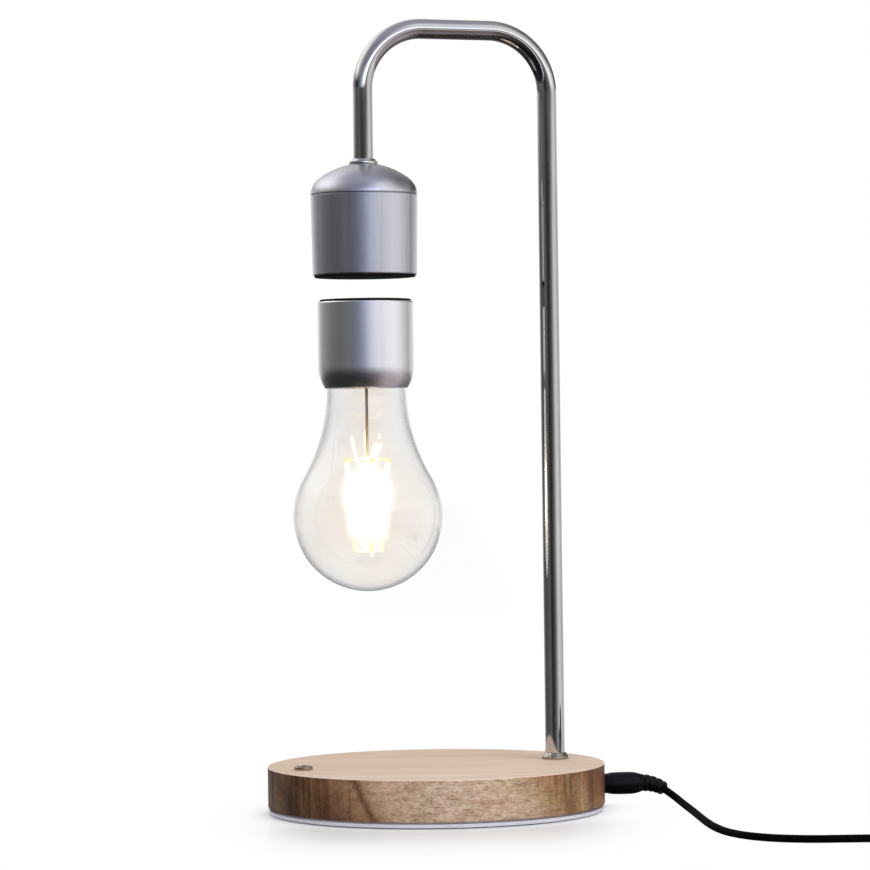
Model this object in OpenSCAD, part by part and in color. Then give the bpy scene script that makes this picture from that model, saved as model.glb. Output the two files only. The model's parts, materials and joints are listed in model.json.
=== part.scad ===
// Table lamp with a bulb that floats under a magnetic head.
// A swan-neck tube carries the head over a round wooden base.
// The origin is the middle of the base on the table. +X points from the button to the post.

/* [Base] */
// Diameter of the wooden block
base_d = 136; // [128:1:170]
// Height of the wooden block
block_h = 17.1; // [16.5:0.1:24]
// Thickness of the block's wall around the pocket
block_wall = 6; // [5:0.5:8]
// Thickness of wood left over the pocket
block_roof = 5; // [4:0.5:6]
// Chamfer on the block's lower edge
block_chamfer = 0.5; // [0.2:0.1:1]
// Thickness of the bottom cover
cover_t = 1.5; // [1.3:0.1:2.5]
// Distance from the cover's edge in to the block's edge
cover_inset = 0.4; // [0.1:0.1:1]
// Diameter of a foot pad
pad_d = 12; // [8:1:16]
// Thickness of a foot pad
pad_t = 1; // [0.8:0.1:1.6]
// Depth of a pad's seat in the cover
pad_seat = 0.6; // [0.3:0.1:0.7]
// Distance of the foot pads from the middle of the base
pad_ring_r = 50; // [35:1:54]
// Number of foot pads, and of cover screws
pad_count = 4; // [3:1:5]

/* [Fasteners] */
// Thread diameter of a cover screw
screw_d = 2.4; // [2:0.1:2.8]
// Head diameter of a cover screw
screw_head_d = 4.2; // [4:0.1:4.6]
// Length of a cover screw
screw_len = 9; // [7:0.5:12]
// Thread diameter of a board screw
board_screw_d = 2; // [1.6:0.1:2.4]
// Head diameter of a board screw
board_screw_head_d = 3.8; // [3.4:0.1:4.4]
// Height of a board screw's head
board_screw_head_h = 1.1; // [0.8:0.1:1.2]
// Thickness of a threaded nut
nut_h = 3; // [2:0.5:3.5]
// Thickness of the post's washer
washer_t = 0.8; // [0.5:0.1:1.2]

/* [Electronics] */
// Thickness of the control board
board_t = 1.6; // [1.2:0.1:2]
// Width of the control board
board_w = 40; // [38:1:60]
// Space between the bottom cover and the control board
board_lift = 1.5; // [1.4:0.1:2.5]
// Outer diameter of a standoff
standoff_d = 5; // [4:0.5:6]
// Distance of the standoffs from the middle of the base, along X
standoff_x = 36; // [30:1:38]
// Distance of the standoffs from the middle of the base, along Y
standoff_y = 15; // [12:1:16]
// Height of the arm cable's socket on the board
socket_h = 3; // [2:0.5:3.5]

/* [Power jack] */
// Direction of the jack around the base, in degrees from +X
jack_angle = -14; // [-20:1:-13]
// Height of the jack's axis above the board
jack_rise = 4.6; // [4.4:0.1:5]
// Width of the jack's housing
jack_w = 9; // [8:0.5:10]
// Height of the jack's housing
jack_h = 8.6; // [8.4:0.1:9]
// Length of the jack's housing
jack_len = 11; // [10:0.5:13]
// Outer diameter of the jack's nose, in the wall
jack_nose_d = 8.6; // [8:0.1:8.8]
// Depth of the nose's face below the wooden wall
jack_recess = 0.8; // [0.5:0.1:1.5]
// Outer diameter of the plug's metal barrel
barrel_d = 5.5; // [5.3:0.1:5.7]
// Length of the plug's metal barrel
barrel_len = 9.5; // [8:0.5:10.5]
// Diameter of the jack's centre pin
jack_pin_d = 2; // [1.8:0.1:2.4]

/* [Power button] */
// Distance of the button from the edge of the block
button_inset = 12; // [11.5:0.5:14]
// Diameter of the button's cap
button_d = 5; // [4.6:0.1:5.4]
// Height of the cap's dome above the wood
button_rise = 2; // [1.8:0.1:3]
// Height of the dome on the cap
button_dome = 0.9; // [0.6:0.1:1.2]
// Travel of the button
button_travel = 1.2; // [0.8:0.1:1.3]
// Diameter of the bezel's rim
bezel_d = 7.6; // [7.2:0.1:8.4]
// Height of the bezel's rim above the wood
bezel_rise = 0.8; // [0.5:0.1:1]
// Thickness of the bezel's sleeve
bezel_wall = 0.7; // [0.6:0.1:0.9]
// Height of the push switch, with its plunger
switch_h = 4; // [3.5:0.1:4.2]
// Width of the push switch
switch_w = 6; // [5:0.5:6.5]

/* [Arm] */
// Outer diameter of the tube
tube_d = 8; // [7:0.5:9]
// Wall of the tube
tube_wall = 1; // [0.8:0.1:1.2]
// Height of the top of the arm above the table
arm_h = 320; // [305:1:340]
// Distance between the post and the bulb's axis
arm_reach = 79; // [70:1:95]
// Radius of the two bends, to the middle of the tube
bend_r = 25; // [18:1:32]
// Distance of the post from the edge of the block
post_inset = 16.5; // [16:0.5:18]
// Diameter of the ring around the foot of the post
ring_d = 11.3; // [10.5:0.1:13]
// Height of the ring around the foot of the post
ring_h = 2.6; // [2:0.1:4]
// Diameter of the cable inside the arm
cable_d = 4.4; // [3.6:0.1:4.6]

/* [Head] */
// Diameter of the shell at its top
head_top_d = 43; // [42.6:0.1:46]
// Diameter of the shell at its bottom
head_bottom_d = 42; // [41.6:0.1:44]
// Height of the shell
head_shell_h = 33.4; // [32.5:0.1:40]
// Height of the dome
dome_h = 12.4; // [11.6:0.1:15]
// Radius of the dome's shoulder
dome_shoulder_r = 8.5; // [7:0.1:9]
// Thickness of the dome
dome_t = 1.5; // [1.2:0.1:1.7]
// Wall of the shell over its ledge
head_wall = 1.5; // [1.2:0.1:2]
// Width of the shell's ledge
head_ledge = 0.8; // [0.5:0.1:1.2]
// Chamfer on the shell's upper edge
seam_chamfer = 0.5; // [0.3:0.1:0.8]
// Height of the dome's spigot in the shell
spigot_h = 4; // [3:0.5:5]
// Wall of the dome's spigot
spigot_wall = 1.5; // [1.2:0.1:2]
// Thickness of the steel plate that carries the coil
plate_t = 2; // [1.5:0.1:2.5]
// Thickness of the black cover under the head
head_cover_t = 1.6; // [1.2:0.1:2]
// Height of the cover's rim
head_rim_h = 2.1; // [2:0.1:2.6]
// Width of the cover's rim
head_rim_w = 1.6; // [1.2:0.1:2]
// Diameter of the collar where the tube meets the dome
collar_d = 11.6; // [10.6:0.1:13]
// Height of the collar
collar_h = 1.6; // [1.2:0.1:2.4]

/* [Electromagnet] */
// Diameter of the iron core
core_d = 10; // [8:0.5:12]
// Diameter of the bobbin's flanges
bobbin_d = 30; // [26:0.5:32]
// Wall of the bobbin
bobbin_wall = 1.2; // [1:0.1:1.6]
// Depth of the winding on the bobbin
winding_t = 7.6; // [5:0.1:7.8]
// Thickness of the flat coils that pass power across the gap
flat_coil_t = 1.5; // [1:0.1:1.6]
// Thickness of the small round boards
disc_board_t = 1; // [0.8:0.1:1.2]

/* [Floating bulb] */
// Height of the bulb's lowest point above the base
bulb_lift = 70.6; // [60:0.1:75]
// Gap between the bulb and the head
float_gap = 8.9; // [8.4:0.1:12]
// Diameter of the glass
glass_d = 60; // [58:0.5:64]
// Thickness of the glass
glass_t = 0.8; // [0.6:0.1:1]
// Diameter of the glass neck
neck_d = 31.6; // [30.6:0.1:31.8]
// Height from the widest glass to the straight neck
neck_rise = 52.4; // [50:0.1:56]
// Length of the straight neck
neck_len = 9; // [7:0.5:11]
// Diameter of the metal cap
cap_d = 38.6; // [38.2:0.1:42]
// Height of the metal cap
cap_h = 34.2; // [33.5:0.1:40]
// Wall of the metal cap around the magnet
cap_wall = 1.5; // [1.2:0.1:1.7]
// Radius of the cap's rounded lower edge
cap_round_r = 11; // [10:0.5:13]
// Height of the cap's rounded lower edge
cap_round_h = 7.2; // [6:0.1:7.4]
// Bevel on the cap's upper edge
cap_bevel = 1; // [0.6:0.1:1.2]
// Depth of the cap above its ledge
cap_pocket_h = 15.4; // [15:0.1:17]
// Thickness of the lid above the cap
lid_rise = 1.4; // [1:0.1:2]
// Depth of the lid's spigot in the cap
lid_spigot_h = 2; // [1.5:0.1:2.4]
// Diameter of the magnet
magnet_d = 20; // [16:0.5:21]
// Height of the magnet
magnet_h = 9; // [7:0.1:9.2]

/* [Filaments] */
// Number of LED filaments
filament_count = 4; // [3:1:8]
// Diameter of a filament
filament_d = 1.8; // [1.4:0.1:2.4]
// Distance of the filaments' upper ends from the axis
filament_top_r = 8.5; // [6:0.1:11]
// Distance of the filaments' lower ends from the axis
filament_bottom_r = 5.3; // [4:0.1:8]
// Height of the filaments' upper ends over the middle of the glass
filament_top_z = 22.4; // [18:0.1:25]
// Depth of the filaments' lower ends under the middle of the glass
filament_bottom_z = 13.4; // [10:0.1:18]
// Diameter of the rod that carries the filaments
rod_d = 1.2; // [1:0.1:2]
// Diameter of the wire of the filaments' stars
star_wire_d = 0.9; // [0.7:0.1:1.2]

/* [Plug] */
// Diameter of the plug's neck
plug_neck_d = 8; // [7.4:0.1:8.4]
// Length of the plug's neck
plug_neck_len = 5.5; // [4:0.5:8]
// Diameter of the plug's grip
plug_d = 9.4; // [8.8:0.1:11]
// Length of the plug's grip
plug_len = 10.2; // [8:0.1:14]
// Chamfer at both ends of the grip
plug_chamfer = 1; // [0.5:0.1:1.6]
// Diameter of the boot at the plug
boot_d1 = 7.4; // [6.6:0.1:8]
// Diameter of the boot at the cord
boot_d2 = 6.2; // [5:0.1:6.4]
// Number of ribs on the boot
boot_ribs = 5; // [4:1:7]

/* [Wall adapter] */
// Length of the adapter's case
adapter_len = 56; // [50:1:75]
// Width of the adapter's case
adapter_w = 38; // [34:1:50]
// Thickness of the adapter's case
adapter_h = 26; // [24:1:32]
// Radius of the case's upright edges
adapter_round = 5; // [3:0.5:8]
// Diameter of a mains pin
mains_pin_d = 4; // [3.8:0.1:4.8]
// Length of a mains pin
mains_pin_len = 19; // [17:0.5:20]
// Distance between the mains pins
mains_pin_gap = 19; // [18:0.5:20]

/* [Hidden] */
$fn = 64;
eps = 0.01;
// Clearance of a glued or bolted seat
seat_fit = 0.1;
// Clearance of a screw in its thread
thread_fit = 0.05;
// Running clearance of a sliding piece
slide_fit = 0.08;
// Space that is left between pieces that move apart
free_gap = 0.3;

// Heights and radii in the base
base_r = base_d / 2;
cover_z = pad_t - pad_seat;
block_z = cover_z + cover_t;
base_top = block_z + block_h;
pocket_r = base_r - block_wall;
pocket_top = base_top - block_roof;
board_z = block_z + board_lift;
board_top = board_z + board_t;
board_edge_gap = 0.8;
screw_edge = 0.4;
screw_ring_r = base_r - block_wall / 2 - screw_edge;
screw_cone_h = (screw_head_d - screw_d) / 2;
pad_start_angle = 45;
post_x = base_r - post_inset;
button_x = button_inset - base_r;

// Jack and plug, measured outwards from the middle of the base
jack_z = board_top + jack_rise;
jack_face = base_r - jack_recess;
jack_wall_gap = 1;
jack_back = pocket_r - jack_wall_gap - jack_len;
jack_middle = jack_back + jack_len / 2;
jack_bore_d = barrel_d + 2 * slide_fit;
jack_pin_len = 8;
jack_hole_d = jack_nose_d + 4 * seat_fit;
plug_front = jack_face + free_gap;
plug_start = plug_front + plug_neck_len;
boot_start = plug_start + plug_len;

// Button, from the push switch up to its dome
switch_top = board_top + switch_h;
stem_d = 2.4;
stem_z = switch_top + button_travel + seat_fit;
bezel_bore_d = button_d + 2 * slide_fit;
bezel_sleeve_d = bezel_bore_d + 2 * bezel_wall;
bezel_floor = 0.8;
bezel_z = pocket_top - nut_h;
bezel_nut_d = 11;
button_top = base_top + button_rise;
spring_wire = 0.4;
spring_h = 3.2;
spring_turns = 4;
spring_z = bezel_z + bezel_floor;
button_skirt_z = spring_z + spring_h;

// Arm
bulb_x = post_x - arm_reach;
run_z = arm_h - tube_d / 2;
bend_z = run_z - bend_r;
post_nut_w = 12;
thread_end = 0.8;
post_foot_z = pocket_top - washer_t - nut_h - thread_end;

// Floating bulb, from the lowest glass up
glass_r = glass_d / 2;
neck_r = neck_d / 2;
glass_z = base_top + bulb_lift + glass_r;
neck_z = glass_z + neck_rise;
neck_top = neck_z + neck_len;
// The hollow curve of the neck touches the sphere and the straight neck
neck_curve_r = (neck_rise * neck_rise - glass_r * glass_r + neck_r * neck_r) / (2 * (glass_r - neck_r));
cap_r = cap_d / 2;
cap_overlap = 0.9;
cap_z = neck_z - cap_overlap;
cap_top = cap_z + cap_h;
cap_ledge_z = cap_top - cap_pocket_h;
cap_bore_r = cap_r - cap_wall;
lid_r = cap_r - cap_bevel;
lid_top = cap_top + lid_rise;
lid_spigot_z = cap_top - lid_spigot_h;
bulb_board_top = cap_ledge_z + disc_board_t;
magnet_z = bulb_board_top + seat_fit;
flat_coil_bore = magnet_d / 2 + free_gap;
stem_disc_h = 3;

// Head, from its black cover up
head_z = lid_top + float_gap;
seam_z = head_z + head_shell_h;
head_top_r = head_top_d / 2;
head_bottom_r = head_bottom_d / 2;
head_seat_r = head_top_r - head_wall;
head_bore_r = head_seat_r - head_ledge;
plate_z = seam_z - spigot_h - plate_t;
shoulder_x = head_top_r - dome_shoulder_r;
crown_r = (shoulder_x ^ 2 + dome_h ^ 2 - dome_shoulder_r ^ 2) / (2 * (dome_h - dome_shoulder_r));
crown_z = seam_z + dome_h - crown_r;
// The way from the crown's centre to the point where it meets the shoulder
crown_way = [shoulder_x, seam_z - crown_z] / (crown_r - dome_shoulder_r);
dome_flat_z = crown_z + sqrt(crown_r ^ 2 - (collar_d / 2) ^ 2);
dome_boss_h = 1.6;
dome_boss_r = 7;
dome_boss_z = dome_flat_z - dome_t - dome_boss_h;
collar_nut_w = 12;
leg_end_z = dome_boss_z - nut_h - thread_end;
head_floor_z = head_z + head_cover_t;
sensor_z = head_floor_z + head_rim_h;
sensor_top = sensor_z + disc_board_t;
core_z = sensor_top + seat_fit;
bobbin_z = core_z + 0.8;
bobbin_top = plate_z - seat_fit;
core_screw_d = 4;
core_screw_head_d = 7;
core_screw_head_h = 2.4;
core_screw_depth = 8;

// Boot of the plug, bent down and to the front
boot_len = 10.5;
boot_turn = 55;
boot_tilt = 40;
boot_bend_r = boot_len / (boot_turn * PI / 180);
plug_out = [cos(jack_angle), sin(jack_angle), 0];
plug_side = [sin(jack_angle), -cos(jack_angle), 0];
boot_down = sin(boot_tilt) * plug_side - cos(boot_tilt) * [0, 0, 1];
boot_base = boot_start * plug_out + [0, 0, jack_z];
function boot_point(a) = boot_base + boot_bend_r * (sin(a) * plug_out + (1 - cos(a)) * boot_down);
function boot_heading(a) = cos(a) * plug_out + sin(a) * boot_down;

// Cord: the free stretch from the boot to the coil, chosen by hand
cord_d = 3;
cord_sides = 8;
cord_route = [
    boot_point(boot_turn),
    [90, -27.2, 4.1], [91.5, -30.5, 2.4], [92, -34.5, 1.7], [91.5, -40, 1.5],
    [90, -47.5, 1.5], [88, -55, 1.5], [86, -62.5, 1.5], [84, -70, 1.5],
    [82, -77.5, 1.5], [80, -85, 1.5], [78, -92.5, 1.5], [76, -100, 1.5],
    [74, -107.5, 1.5], [72.5, -115, 1.5], [71, -122.5, 1.5], [70, -130, 1.5],
    [70, -137.5, 1.5], [71, -145, 1.5], [73.5, -152, 1.5], [77.5, -158.5, 1.5],
    [83, -163.5, 1.5], [89.5, -167.5, 1.5], [96.5, -170, 1.5], [104, -172.5, 1.5],
    [111.5, -175, 1.5], [119, -177.5, 1.6], [126.5, -180, 1.9], [134, -182.5, 2.2],
    [141.5, -185, 2.4]
];

// Coil of the spare cord: spirals in and out in four layers
coil_layers = 4;
coil_turns = 12.25;
coil_pitch = 3.5;
coil_middle_r = 16.6;
coil_sides = 6;
rings_per_turn = 24;
layer_turns = coil_turns / coil_layers;
coil_out_r = coil_middle_r + coil_pitch * layer_turns / 2;
coil_in_r = coil_out_r - coil_pitch * layer_turns;
route_end = cord_route[len(cord_route) - 1];
route_before = cord_route[len(cord_route) - 2];
coil_heading = atan2(route_end.y - route_before.y, route_end.x - route_before.x);
coil_z = route_end.z;
coil_entry = route_end + cord_d * [cos(coil_heading), sin(coil_heading), 0];
coil_centre = coil_entry + coil_out_r * [-sin(coil_heading), cos(coil_heading), 0];
climb_turns = 0.5;
function eased(t) = let (s = min(max(t, 0), 1)) s * s * (3 - 2 * s);
function coil_height(t) = coil_pitch * (
    eased((t - layer_turns) / climb_turns + 0.5)
    + eased((t - 2 * layer_turns) / climb_turns + 0.5)
    + eased((t - 3 * layer_turns) / climb_turns + 0.5));
function coil_radius(t) = let (phase = t / layer_turns, layer = min(floor(phase), coil_layers - 1))
    layer % 2 == 0 ? coil_out_r - coil_pitch * layer_turns * (phase - layer)
                   : coil_in_r + coil_pitch * layer_turns * (phase - layer);
function coil_point(t) = let (a = coil_heading - 90 + 360 * t)
    coil_centre + coil_radius(t) * [cos(a), sin(a), 0] + [0, 0, coil_height(t)];
coil_steps = coil_turns * rings_per_turn;
exit_heading = coil_heading + 360 * coil_turns;
exit_way = [cos(exit_heading), sin(exit_heading), 0];
coil_path = concat(
    [route_end],
    [for (i = [0:coil_steps]) coil_point(i / rings_per_turn)],
    [coil_point(coil_turns) + cord_d * exit_way]
);
coil_exit = coil_path[len(coil_path) - 1];

// Least distance between two turns of the coil, less the cord
function turn_gaps(p, lag) = [for (i = [0:len(p) - 1 - lag], j = [i + lag:len(p) - 1]) norm(p[j] - p[i])];
coil_lag = 18;

// Tail from the coil to the adapter
tail_len = 18;
tail_sag = 0.6;
tail_steps = 6;
tail_path = [for (i = [0:tail_steps]) let (s = i / tail_steps)
    coil_exit + tail_len * s * exit_way - [0, 0, tail_sag * sin(180 * s) ^ 2]];
adapter_boot_len = 12;
adapter_boot_d1 = 5;
adapter_boot_d2 = 8;
adapter_start = tail_len + adapter_boot_len;
adapter_seam = 0.5;
adapter_split = 0.6 * adapter_h;

// Tie around the coil
tie_w = 8;
tie_t = 0.6;
tie_angle = coil_heading + 180;
tie_slack = 1.3;
tie_in = coil_in_r - cord_d / 2 - tie_slack;
tie_out = coil_out_r + cord_d / 2 + tie_slack / 3;
tie_z = coil_z - cord_d / 2 - free_gap;
tie_top = coil_z + coil_pitch * (coil_layers - 1) + cord_d / 2 + free_gap;

// Shared shapes

module ring(outer_r, inner_r, h) {
    difference() {
        cylinder(r = outer_r, h = h);
        translate([0, 0, -1]) cylinder(r = inner_r, h = h + 2);
    }
}

module around(count, r, start) {
    for (i = [0:count - 1]) rotate(start + 360 * i / count) translate([r, 0, 0]) children();
}

module four_corners(x, y) {
    for (sx = [-1, 1], sy = [-1, 1]) translate([sx * x, sy * y, 0]) children();
}

// A hexagonal nut of the given width across flats
module hex_nut(w, bore_r, h) {
    difference() {
        cylinder(d = w / cos(30), h = h, $fn = 6);
        translate([0, 0, -1]) cylinder(r = bore_r, h = h + 2);
    }
}

// A countersunk screw that points up, with room all round for a hole
module flat_screw(room) {
    cylinder(d1 = screw_head_d + 2 * room, d2 = screw_d + 2 * room, h = screw_cone_h);
    cylinder(d = screw_d + 2 * room, h = screw_len + room);
}

// The jack's axis, with +Z pointing out of the base
module along_jack(out) {
    rotate(jack_angle) translate([out, 0, jack_z]) rotate([0, 90, 0]) children();
}

// The axis of the floating bulb and the head
module on_bulb_axis(z) {
    translate([bulb_x, 0, z]) children();
}

// A round bar that follows the arm from one height on the post to one on the leg
module arm_bar(d, post_z, leg_z) {
    translate([post_x, 0, post_z]) cylinder(d = d, h = bend_z - post_z);
    translate([post_x - bend_r, 0, bend_z]) rotate([90, 0, 0])
        rotate_extrude(angle = 90) translate([bend_r, 0]) circle(d = d);
    translate([bulb_x + bend_r, 0, run_z]) rotate([0, 90, 0]) cylinder(d = d, h = arm_reach - 2 * bend_r);
    translate([bulb_x + bend_r, 0, bend_z]) rotate([90, 0, 0])
        rotate(90) rotate_extrude(angle = 90) translate([bend_r, 0]) circle(d = d);
    on_bulb_axis(leg_z) cylinder(d = d, h = bend_z - leg_z);
}

// Half section of the dome, drawn in by an inset
module dome_section(inset) {
    intersection() {
        translate([0, seam_z]) square([head_top_r, 2 * dome_h]);
        union() {
            translate([shoulder_x, seam_z]) circle(r = dome_shoulder_r - inset);
            intersection() {
                translate([0, crown_z]) circle(r = crown_r - inset);
                polygon([[0, crown_z], [0, crown_z + 2 * crown_r], [0, crown_z] + 2 * crown_r * crown_way]);
            }
        }
    }
}

// Half section of the glass, drawn in by an inset, up to a height
module glass_section(inset, top) {
    touch_x = (glass_r - inset) / (glass_r + neck_curve_r) * (neck_r + neck_curve_r);
    intersection() {
        translate([0, glass_z]) circle(r = glass_r - inset);
        translate([0, glass_z - glass_r]) square([glass_r, 2 * glass_r]);
    }
    difference() {
        translate([0, glass_z]) square([touch_x, neck_z - glass_z]);
        translate([neck_r + neck_curve_r, neck_z]) circle(r = neck_curve_r + inset);
    }
    translate([0, glass_z]) square([neck_r - inset, top - glass_z]);
}

function unit(v) = v / norm(v);
function way(p, i) = unit(p[min(i + 1, len(p) - 1)] - p[max(i - 1, 0)]);

// One closed tube of triangles through the points of a path that nowhere stands upright
module swept_tube(path, d, sides) {
    last = len(path) - 1;
    rings = [for (i = [0:last])
        let (t = way(path, i), s = unit(cross(t, [0, 0, 1])), u = cross(s, t))
        for (k = [0:sides - 1])
            path[i] + d / 2 * (cos(360 * k / sides) * s + sin(360 * k / sides) * u)];
    skin = [for (i = [0:last - 1], k = [0:sides - 1])
        let (a = i * sides + k, b = i * sides + (k + 1) % sides)
        for (f = [[a, b, b + sides], [a, b + sides, a + sides]]) f];
    first_cap = [for (k = [1:sides - 2]) [0, k + 1, k]];
    end = last * sides;
    last_cap = [for (k = [1:sides - 2]) [end, end + k, end + k + 1]];
    polyhedron(rings, concat(skin, first_cap, last_cap));
}

// Base

module base_block() color("burlywood") difference() {
    union() {
        translate([0, 0, block_z])
            cylinder(r1 = base_r - block_chamfer, r2 = base_r, h = block_chamfer);
        translate([0, 0, block_z + block_chamfer]) cylinder(r = base_r, h = block_h - block_chamfer);
    }
    translate([0, 0, block_z - 1]) cylinder(r = pocket_r, h = pocket_top - block_z + 1);
    translate([post_x, 0, pocket_top - 1]) cylinder(d = tube_d + 2 * seat_fit, h = block_roof + 2);
    translate([button_x, 0, pocket_top - 1]) cylinder(d = bezel_sleeve_d + 2 * seat_fit, h = block_roof + 2);
    along_jack(pocket_r - 2) cylinder(d = jack_hole_d, h = block_wall + 4);
    around(pad_count, screw_ring_r, pad_start_angle) translate([0, 0, cover_z]) flat_screw(thread_fit);
}

module base_cover() color("gainsboro") difference() {
    translate([0, 0, cover_z]) cylinder(r = base_r - cover_inset, h = cover_t);
    around(pad_count, pad_ring_r, pad_start_angle)
        translate([0, 0, cover_z - 1]) cylinder(d = pad_d + 2 * seat_fit, h = pad_seat + 1);
    around(pad_count, screw_ring_r, pad_start_angle) translate([0, 0, cover_z]) flat_screw(thread_fit);
}

module foot_pads() color("dimgray")
    around(pad_count, pad_ring_r, pad_start_angle) cylinder(d = pad_d, h = pad_t);

module cover_screws() color("silver")
    around(pad_count, screw_ring_r, pad_start_angle) translate([0, 0, cover_z]) flat_screw(0);

// Electronics in the base

module control_board() color("darkgreen") difference() {
    translate([0, 0, board_z]) linear_extrude(board_t) intersection() {
        circle(r = pocket_r - board_edge_gap);
        square([2 * pocket_r, board_w], center = true);
    }
    four_corners(standoff_x, standoff_y)
        translate([0, 0, board_z - 1]) cylinder(d = board_screw_d + 2 * seat_fit, h = board_t + 2);
}

module board_standoffs() color("goldenrod") four_corners(standoff_x, standoff_y) difference() {
    translate([0, 0, board_top]) cylinder(d = standoff_d, h = pocket_top - board_top);
    translate([0, 0, board_top - 1])
        cylinder(d = board_screw_d + 2 * thread_fit, h = board_screw_hold + 1 + seat_fit);
}
board_screw_hold = 4;

module board_screws() color("silver") four_corners(standoff_x, standoff_y) {
    translate([0, 0, board_z - board_screw_head_h]) cylinder(d = board_screw_head_d, h = board_screw_head_h);
    translate([0, 0, board_z - board_screw_head_h])
        cylinder(d = board_screw_d, h = board_screw_head_h + board_t + board_screw_hold);
}

// Capacitors, a choke and the driver chip, on the board
capacitor_d = 8;
capacitor_h = 7;
capacitor_x = 18;
capacitor_y = 6;
choke_w = 8;
choke_h = 4.5;
chip_x = -24;
chip = [7, 6, 1.6];
module board_parts() color("darkslategray") translate([0, 0, board_top]) {
    for (y = [-capacitor_y, capacitor_y])
        translate([capacitor_x, y, 0]) cylinder(d = capacitor_d, h = capacitor_h);
    translate([-choke_w / 2, -choke_w / 2, 0]) cube([choke_w, choke_w, choke_h]);
    translate([chip_x, -chip.y / 2, 0]) cube(chip);
}

socket_size = [7, 9];
module arm_socket() color("ivory")
    translate([post_x - socket_size.x / 2, -socket_size.y / 2, board_top])
        cube([socket_size.x, socket_size.y, socket_h]);

module dc_jack() color("black") difference() {
    union() {
        rotate(jack_angle) translate([jack_back, -jack_w / 2, board_top]) cube([jack_len, jack_w, jack_h]);
        along_jack(jack_middle) cylinder(d = jack_nose_d, h = jack_face - jack_middle);
    }
    along_jack(plug_front - barrel_len - free_gap) cylinder(d = jack_bore_d, h = barrel_len + 2);
}

module jack_pin() color("silver")
    along_jack(plug_front - barrel_len - free_gap) cylinder(d = jack_pin_d, h = jack_pin_len);

// Power button

plunger_d = 3;
plunger_h = 1;
module push_switch() color("darkslategray") translate([button_x, 0, board_top]) {
    translate([-switch_w / 2, -switch_w / 2, 0]) cube([switch_w, switch_w, switch_h - plunger_h]);
    cylinder(d = plunger_d, h = switch_h);
}

module button_bezel() color("silver") translate([button_x, 0, 0]) difference() {
    union() {
        translate([0, 0, bezel_z]) cylinder(d = bezel_sleeve_d, h = base_top - bezel_z);
        translate([0, 0, base_top]) cylinder(d1 = bezel_d, d2 = bezel_d - bezel_rise, h = bezel_rise);
    }
    translate([0, 0, spring_z]) cylinder(d = bezel_bore_d, h = block_h);
    translate([0, 0, bezel_z - 1]) cylinder(d = stem_d + 2 * free_gap, h = bezel_floor + 2);
}

module bezel_nut() color("silver") translate([button_x, 0, bezel_z])
    ring(bezel_nut_d / 2, bezel_sleeve_d / 2 + thread_fit, nut_h);

spring_r = (stem_d + button_d) / 4;
spring_end_gap = 0.05;
spring_rings = 8;
spring_steps = spring_turns * spring_rings;
module button_spring() color("lightgray") translate([button_x, 0, 0]) swept_tube(
    [for (i = [0:spring_steps]) let (a = 360 * i / spring_rings)
        [spring_r * cos(a), spring_r * sin(a),
         spring_z + spring_wire / 2 + spring_end_gap
         + (spring_h - spring_wire - 2 * spring_end_gap) * i / spring_steps]],
    spring_wire, 6);

dome_ball_r = (button_d ^ 2 / 4 + button_dome ^ 2) / (2 * button_dome);
module button_cap() color("whitesmoke") translate([button_x, 0, 0]) {
    translate([0, 0, stem_z]) cylinder(d = stem_d, h = button_skirt_z - stem_z);
    translate([0, 0, button_skirt_z]) cylinder(d = button_d, h = button_top - button_dome - button_skirt_z);
    intersection() {
        translate([0, 0, button_top - dome_ball_r]) sphere(r = dome_ball_r);
        translate([0, 0, button_top - button_dome]) cylinder(d = button_d, h = button_dome);
    }
}

// Arm

module arm_tube() color("lightgray") difference() {
    arm_bar(tube_d, post_foot_z, leg_end_z);
    arm_bar(tube_d - 2 * tube_wall, post_foot_z - 1, leg_end_z - 1);
}

module post_ring() color("lightgray") translate([post_x, 0, base_top]) difference() {
    union() {
        cylinder(d = ring_d, h = ring_h / 2);
        translate([0, 0, ring_h / 2]) cylinder(d1 = ring_d, d2 = tube_d + 1, h = ring_h / 2);
    }
    translate([0, 0, -1]) cylinder(d = tube_d + 2 * seat_fit, h = ring_h + 2);
}

module post_washer() color("silver") translate([post_x, 0, pocket_top - washer_t])
    ring(post_nut_w / 2, tube_d / 2 + seat_fit, washer_t);

module post_nut() color("silver") translate([post_x, 0, pocket_top - washer_t - nut_h])
    hex_nut(post_nut_w, tube_d / 2 + thread_fit, nut_h);

module arm_cable() color("dimgray")
    arm_bar(cable_d, board_top + socket_h, leg_end_z - 2);

// Head

module head_collar() color("lightgray") on_bulb_axis(dome_flat_z) difference() {
    union() {
        cylinder(d = collar_d, h = collar_h / 2);
        translate([0, 0, collar_h / 2]) cylinder(d1 = collar_d, d2 = tube_d + 1.6, h = collar_h / 2);
    }
    translate([0, 0, -1]) cylinder(d = tube_d + 2 * seat_fit, h = collar_h + 2);
}

module collar_nut() color("silver") on_bulb_axis(dome_boss_z - nut_h)
    hex_nut(collar_nut_w, tube_d / 2 + thread_fit, nut_h);

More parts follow.
